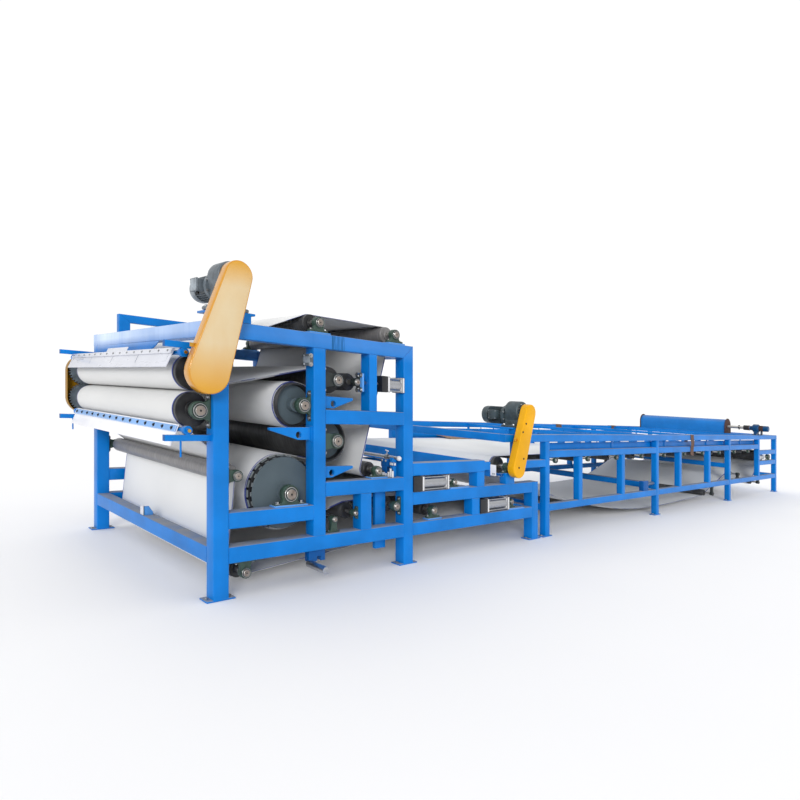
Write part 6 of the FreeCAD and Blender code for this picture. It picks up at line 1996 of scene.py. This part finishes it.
# Studio
@dataclass
class Studio:
    """Camera, floor and soft light.

    The picture's uprights are upright while its level lines fall to the right, so the camera's own
    level leans by that slope.
    """

    eye: Vector = field(default_factory=lambda: Vector((-2.3526, -4.8352, 1.777)))
    heading: float = math.atan2(0.678, 0.735)
    lens_share: float = 605 / 800
    sensor: float = 36.0
    far: float = 200.0
    slope: float = 0.0552
    bright_side: tuple[float, float, float] = (0.5, 0.68, 0.54)
    bright_span: Point = (-0.9, 0.5)
    bright: float = 1.04
    dim: float = 0.5
    floor_reach: float = 60.0
    floor_middle: tuple[float, float, float] = (6.0, 1.5, -0.002)
    flash_power: float = 1.8
    flash_spread: float = 0.35
    flash_height: float = 0.3

    def camera(self) -> None:
        """Set the camera at the picture's viewpoint."""
        ahead = Vector((math.sin(self.heading), math.cos(self.heading), 0.0))
        right = Vector((ahead.y, -ahead.x, 0.0)) + self.slope * UP
        lean = Matrix((right, UP, -ahead)).transposed().to_4x4()
        data = bpy.data.cameras.new("camera")
        data.sensor_width = self.sensor
        data.lens = data.sensor_width * self.lens_share
        data.clip_end = self.far
        camera = bpy.data.objects.new("camera", data)
        tripod = bpy.data.objects.new("tripod", None)
        for made in (camera, tripod):
            bpy.context.scene.collection.objects.link(made)
        camera.parent = tripod
        camera.matrix_parent_inverse = Matrix.Translation(self.eye) @ lean
        bpy.context.scene.camera = camera

    def floor(self) -> None:
        """A pale floor that reaches past the view."""
        mesh, middle, reach = bpy.data.meshes.new("floor"), Vector(self.floor_middle), self.floor_reach
        corners = [middle + Vector((x, y, 0)) * reach for x, y in ((-1, -1), (1, -1), (1, 1), (-1, 1))]
        mesh.from_pydata(corners, [], [(0, 1, 2, 3)])
        shader = Shader("pale_floor")
        tone = shader.mix(shader.noise(0.4, 2.0), seen(248, 248, 249), seen(244, 244, 246))
        mesh.materials.append(shader.finish(tone, 0.7))
        floor = bpy.data.objects.new("floor", mesh)
        bpy.context.scene.collection.objects.link(floor)
        floor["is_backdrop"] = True

    def flash(self) -> None:
        """A broad light from the camera's side, as level as the picture's own."""
        data = bpy.data.lights.new("flash", "SUN")
        data.energy, data.angle = self.flash_power, self.flash_spread
        light = bpy.data.objects.new("flash", data)
        along = Vector((math.sin(self.heading), math.cos(self.heading), -math.tan(self.flash_height)))
        light.rotation_euler = along.to_track_quat("-Z", "Y").to_euler()
        bpy.context.scene.collection.objects.link(light)

    def sky(self) -> None:
        """A white sky, brighter ahead of the camera and overhead than behind the camera."""
        world = bpy.data.worlds.new("soft_sky")
        bpy.context.scene.world = world
        world.use_nodes = True
        tree = Nodes(world.node_tree)
        place = tree.node("ShaderNodeTexCoord", {}).outputs["Generated"]
        along = tree.node("ShaderNodeVectorMath", {0: place, 1: self.bright_side}, operation="DOT_PRODUCT")
        low, high = self.bright_span
        share = tree.node("ShaderNodeMapRange", {"Value": along.outputs["Value"], "From Min": low,
                                                 "From Max": high, "To Min": self.dim, "To Max": self.bright})
        background = world.node_tree.nodes["Background"]
        tree.put(background.inputs["Strength"], share.outputs[0])
        tree.put(background.inputs["Color"], (1.0, 1.0, 1.0, 1.0))

    def build(self) -> None:
        """Camera, floor, sky and light."""
        bpy.context.scene.view_settings.view_transform = "Standard"
        self.camera()
        self.floor()
        self.sky()
        self.flash()


@dataclass
class PlainNodes:
    """The frame's own meshes, each with a finish until a piece takes its place."""

    model: Model
    finish: Finish = FRAME_BLUE

    def build(self) -> None:
        """Give each node the finish."""
        for made in self.model.frame["nodes"].values():
            made.data.materials.clear()
            made.data.materials.append(self.finish.material())


SHAFTS = {
    "upper_press_roller": 0.045, "lower_press_roller": 0.045,
    "second_press_roller": 0.044, "third_press_roller": 0.044, "turn_roller": 0.040,
    "front_top_roller": 0.032, "rear_top_roller": 0.032, "wash_guide_roller": 0.030,
    "riser_roller": 0.030, "small_guide_roller": 0.019, "parting_roller": 0.030,
    "low_return_roller": 0.030, "bottom_roller": 0.030, "belt_support_roller": 0.020,
    "pressure_roller": 0.024, "upper_tension_roller": 0.024, "lower_tension_roller": 0.024,
    "table_drive_roller": 0.034, "table_tail_roller": 0.034,
    "return_roller_1": 0.020, "return_roller_2": 0.020, "return_roller_3": 0.020,
}
TABLE_ROLLERS = ("table_drive_roller", "table_tail_roller", "return_roller_1", "return_roller_2",
                 "return_roller_3")
BARE_ROLLERS = ("wash_guide_roller", "rear_top_roller")
RECESSED_ROLLERS = ("second_press_roller", "third_press_roller")
RECESS = 0.06
IDLER_SHAFT = 0.0248


def belts(model: Model) -> list[Belt]:
    """The three belts and the rollers that each goes round."""
    upper = [Stop("rear_top_roller"), Stop("front_top_roller"), Stop("upper_press_roller"),
             Stop("turn_roller", False, 1), Stop("second_press_roller"), Stop("third_press_roller", False, 1),
             Stop("slatted_drum"), Stop("small_guide_roller", False, 1), Stop("parting_roller", False, 1),
             Stop("upper_tension_roller"), Stop("riser_roller", False)]
    lower = [Stop("lower_tension_roller"), Stop("parting_roller"), Stop("small_guide_roller"),
             Stop("slatted_drum", False, 1), Stop("third_press_roller"),
             Stop("second_press_roller", False, 1), Stop("turn_roller"), Stop("lower_press_roller"),
             Stop("wash_guide_roller", False), Stop("bottom_roller")]
    return [Belt(model, "upper_belt", upper), Belt(model, "lower_belt", lower), table_belt(model)]


def table_belt(model: Model, sag_radius: float = 13.3, sag_low: float = 0.080,
               sag_clear: float = 0.0655) -> Belt:
    """The gravity belt: over the idlers, round the drive roller, then down in one wide free arc."""
    out = Belt.roller_gap + Belt.solid_t / 2
    idlers = sorted((box.centre.x, box.centre.z) for box in model.solids("idler_rollers"))
    wrap = model.barrel("idler_rollers") + out
    drive = model.axis("table_drive_roller")
    rise = sag_low + sag_radius - drive.z
    reach = sag_radius - model.barrel("table_drive_roller") - out + sag_clear
    sag = Axis(drive.x + math.sqrt(reach ** 2 - rise ** 2), sag_low + sag_radius)
    stops = [Stop("table_tail_roller"), (Axis(*idlers[-1]), wrap), (Axis(*idlers[0]), wrap),
             Stop("table_drive_roller"), (sag, sag_radius), Stop("return_roller_1"),
             Stop("return_roller_2", False), Stop("return_roller_3")]
    return Belt(model, "gravity_belt", stops, step=0.09, finish=SOILED_CLOTH)


def plain(finish: Finish) -> Rule:
    """The rule that gives every face one finish."""
    return lambda at, facing, box: finish


@dataclass
class SideDress:
    """Finishes for the nodes that keep their own shape, told by where a face is and how it looks."""

    level: float = 0.9
    flat: float = 0.999
    tail_x: float = 13.5
    tail_caps: Point = (0.032, 0.40)
    tail_cap_y: float = 0.09
    tracker_x: float = 7.5
    tracker_arm: float = 0.182
    valve_y: Point = (-0.2, -0.036)
    pipe_end: float = 0.055
    pipe_high: float = 0.050
    feed: Axis = Axis(13.580, 1.570)
    feed_shaft: float = 0.040

    def arms(self, at: Vector, facing: Vector, box: Extent) -> Finish:
        """Blue arms; their open front ends are darker blue, painted shade inside the hollow tubes."""
        return DULL_BLUE if facing.x < -self.level and at.x < box.lo.x + 0.01 else FRAME_BLUE

    def fittings(self, at: Vector, facing: Vector, box: Extent) -> Finish:
        """Pan brackets, tracking units and the tail cylinders."""
        if box.lo.x > self.tail_x:
            first, last = self.tail_caps
            square = abs(facing.x) > self.level or max(abs(facing.y), abs(facing.z)) > self.flat
            at_cap = at.x < box.lo.x + first or box.hi.x - last < at.x
            return CYLINDER_CAP if square and at_cap and box.size.y > self.tail_cap_y else CYLINDER_ALLOY
        if box.lo.x > self.tracker_x:
            return CYLINDER_ALLOY if at.x > box.lo.x + self.tracker_arm else DULL_BLUE
        low, bright = self.valve_y
        if box.lo.y < low:
            return CYLINDER_ALLOY if at.y < bright else DULL_BLUE
        return FRAME_BLUE

    def pipe(self, at: Vector, facing: Vector, box: Extent) -> Finish:
        """A bright pipe with white ends on painted stands."""
        if at.y < box.lo.y + self.pipe_end or at.y > box.hi.y - self.pipe_end:
            return CYLINDER_CAP
        return FRAME_BLUE if at.z < box.hi.z - self.pipe_high else CYLINDER_ALLOY

    def gear_cover(self, at: Vector, facing: Vector, box: Extent) -> Finish:
        """Yellow outside, browned inside and along the edge."""
        return GUARD_YELLOW if facing.y > self.level and at.y > box.hi.y - 0.002 else GUARD_BROWN

    def feed_rotor(self, at: Vector, facing: Vector, box: Extent) -> Finish:
        """A steel shaft with a dark coupling."""
        off = math.hypot(at.x - self.feed.x, at.z - self.feed.z)
        return SHAFT_STEEL if off < self.feed_shaft else CYLINDER_BASE

    def rules(self) -> dict[str, Rule]:
        """The rule for each node."""
        return {"scraper_arms": self.arms, "side_fittings": self.fittings, "wash_pipe": self.pipe,
                "gear_guard": self.gear_cover, "feed_box_ends": plain(FLANGE_BROWN),
                "feed_roller": self.feed_rotor, "feed_box_cover": plain(BOX_BLUE),
                "slide_tracks": plain(PALE_BLUE), "foot_plates": plain(FRAME_BLUE),
                "drive_pedestals": plain(FRAME_BLUE), "motor_stands": plain(FRAME_BLUE)}


def add_rollers(model: Model) -> None:
    """Every roller, the drum and the nip rollers' gears."""
    for node, shaft in SHAFTS.items():
        cover = Cover.BARE if node in BARE_ROLLERS else Cover.RUBBER
        Roller(model, node, shaft, cover, RECESS if node in RECESSED_ROLLERS else 0.0).build()
    Roller(model, "idler_rollers", 0.015, body=FRAME).build()
    Drum(model).build()
    Gears(model).build()


def add_bearings(model: Model) -> None:
    """Every bearing block, the fixed ones and those on slides."""
    widths = SHAFTS | {"slatted_drum": Drum.shaft}
    shafts = {node: (model.axis(node), shaft) for node, shaft in widths.items()}
    table = {node: shafts.pop(node) for node in TABLE_ROLLERS}
    Bearings(model, "press_bearings", shafts, dark=("turn_roller",)).build()
    Bearings(model, "table_bearings", table, dark=TABLE_ROLLERS[2:]).build()
    idlers = {f"idler_{k}": (Axis(box.centre.x, box.centre.z), IDLER_SHAFT)
              for k, box in enumerate(model.solids("idler_rollers"))}
    Bearings(model, "idler_hangers", idlers).build()
    Slides(model, "pressure_slides", "pressure_roller", Towards.RIGHT, 1.934, 1.536).build()
    Slides(model, "upper_tension_slides", "upper_tension_roller", Towards.DOWN, 0.863).build()
    Slides(model, "lower_tension_slides", "lower_tension_roller", Towards.DOWN, 0.532).build()


def add_scrapers(model: Model) -> None:
    """The upper and the lower scraper."""
    Scraper(model, "upper_scraper", Axis(-0.300, 2.070), ((-0.405, 1.945), (-0.330, 2.106)), (0.70, 0.98),
            -0.012, BLADE_METAL, BLADE_METAL, BOLT_STEEL, 15, 0.013, (1.24, 1.84)).build()
    Scraper(model, "lower_scraper", Axis(-0.270, 1.431), ((-0.288, 1.470), (-0.360, 1.292)), (0.06, 0.36),
            0.020, BLADE_WHITE, BAR_BLUE, DARK_BOLT, 15).build()


def add_drives(model: Model) -> None:
    """Both chain guards, then the three gearmotors."""
    press_guard = ChainGuard(model, "press_drive_guard", "upper_press_roller", 0.125, GUARD_ORANGE,
                             (-0.035, 2.092), lugs=((-0.292, 2.127),))
    table_guard = ChainGuard(model, "table_drive_guard", "table_drive_roller", 0.104, GUARD_YELLOW,
                             (4.095, 1.360), lugs=((3.955, 1.350),), facets=6,
                             screws=((4.107, 1.562), (4.040, 1.453), (4.055, 1.113), (3.955, 1.000)))
    press_guard.build()
    table_guard.build()
    GearMotor(model, "press_drive_motor", press_guard).build()
    GearMotor(model, "table_drive_motor", table_guard, DARK_MOTOR, DARK_MOTOR, DARK_MOTOR).build()
    FeedDrive(model, SideDress.feed).build()


def main() -> None:
    """Build every sub-assembly, then the studio."""
    logging.basicConfig(level=logging.INFO, format="%(message)s")
    model = Model()
    PlainNodes(model).build()
    TubeFrames(model).build()
    for node, rule in SideDress().rules().items():
        Recut(model, node, rule).build()
    add_rollers(model)
    add_bearings(model)
    add_scrapers(model)
    for belt in belts(model):
        belt.build()
    add_drives(model)
    AirCylinders(model).build()
    Fittings(model).build()
    Studio().build()


if __name__ == "__main__":
    main()
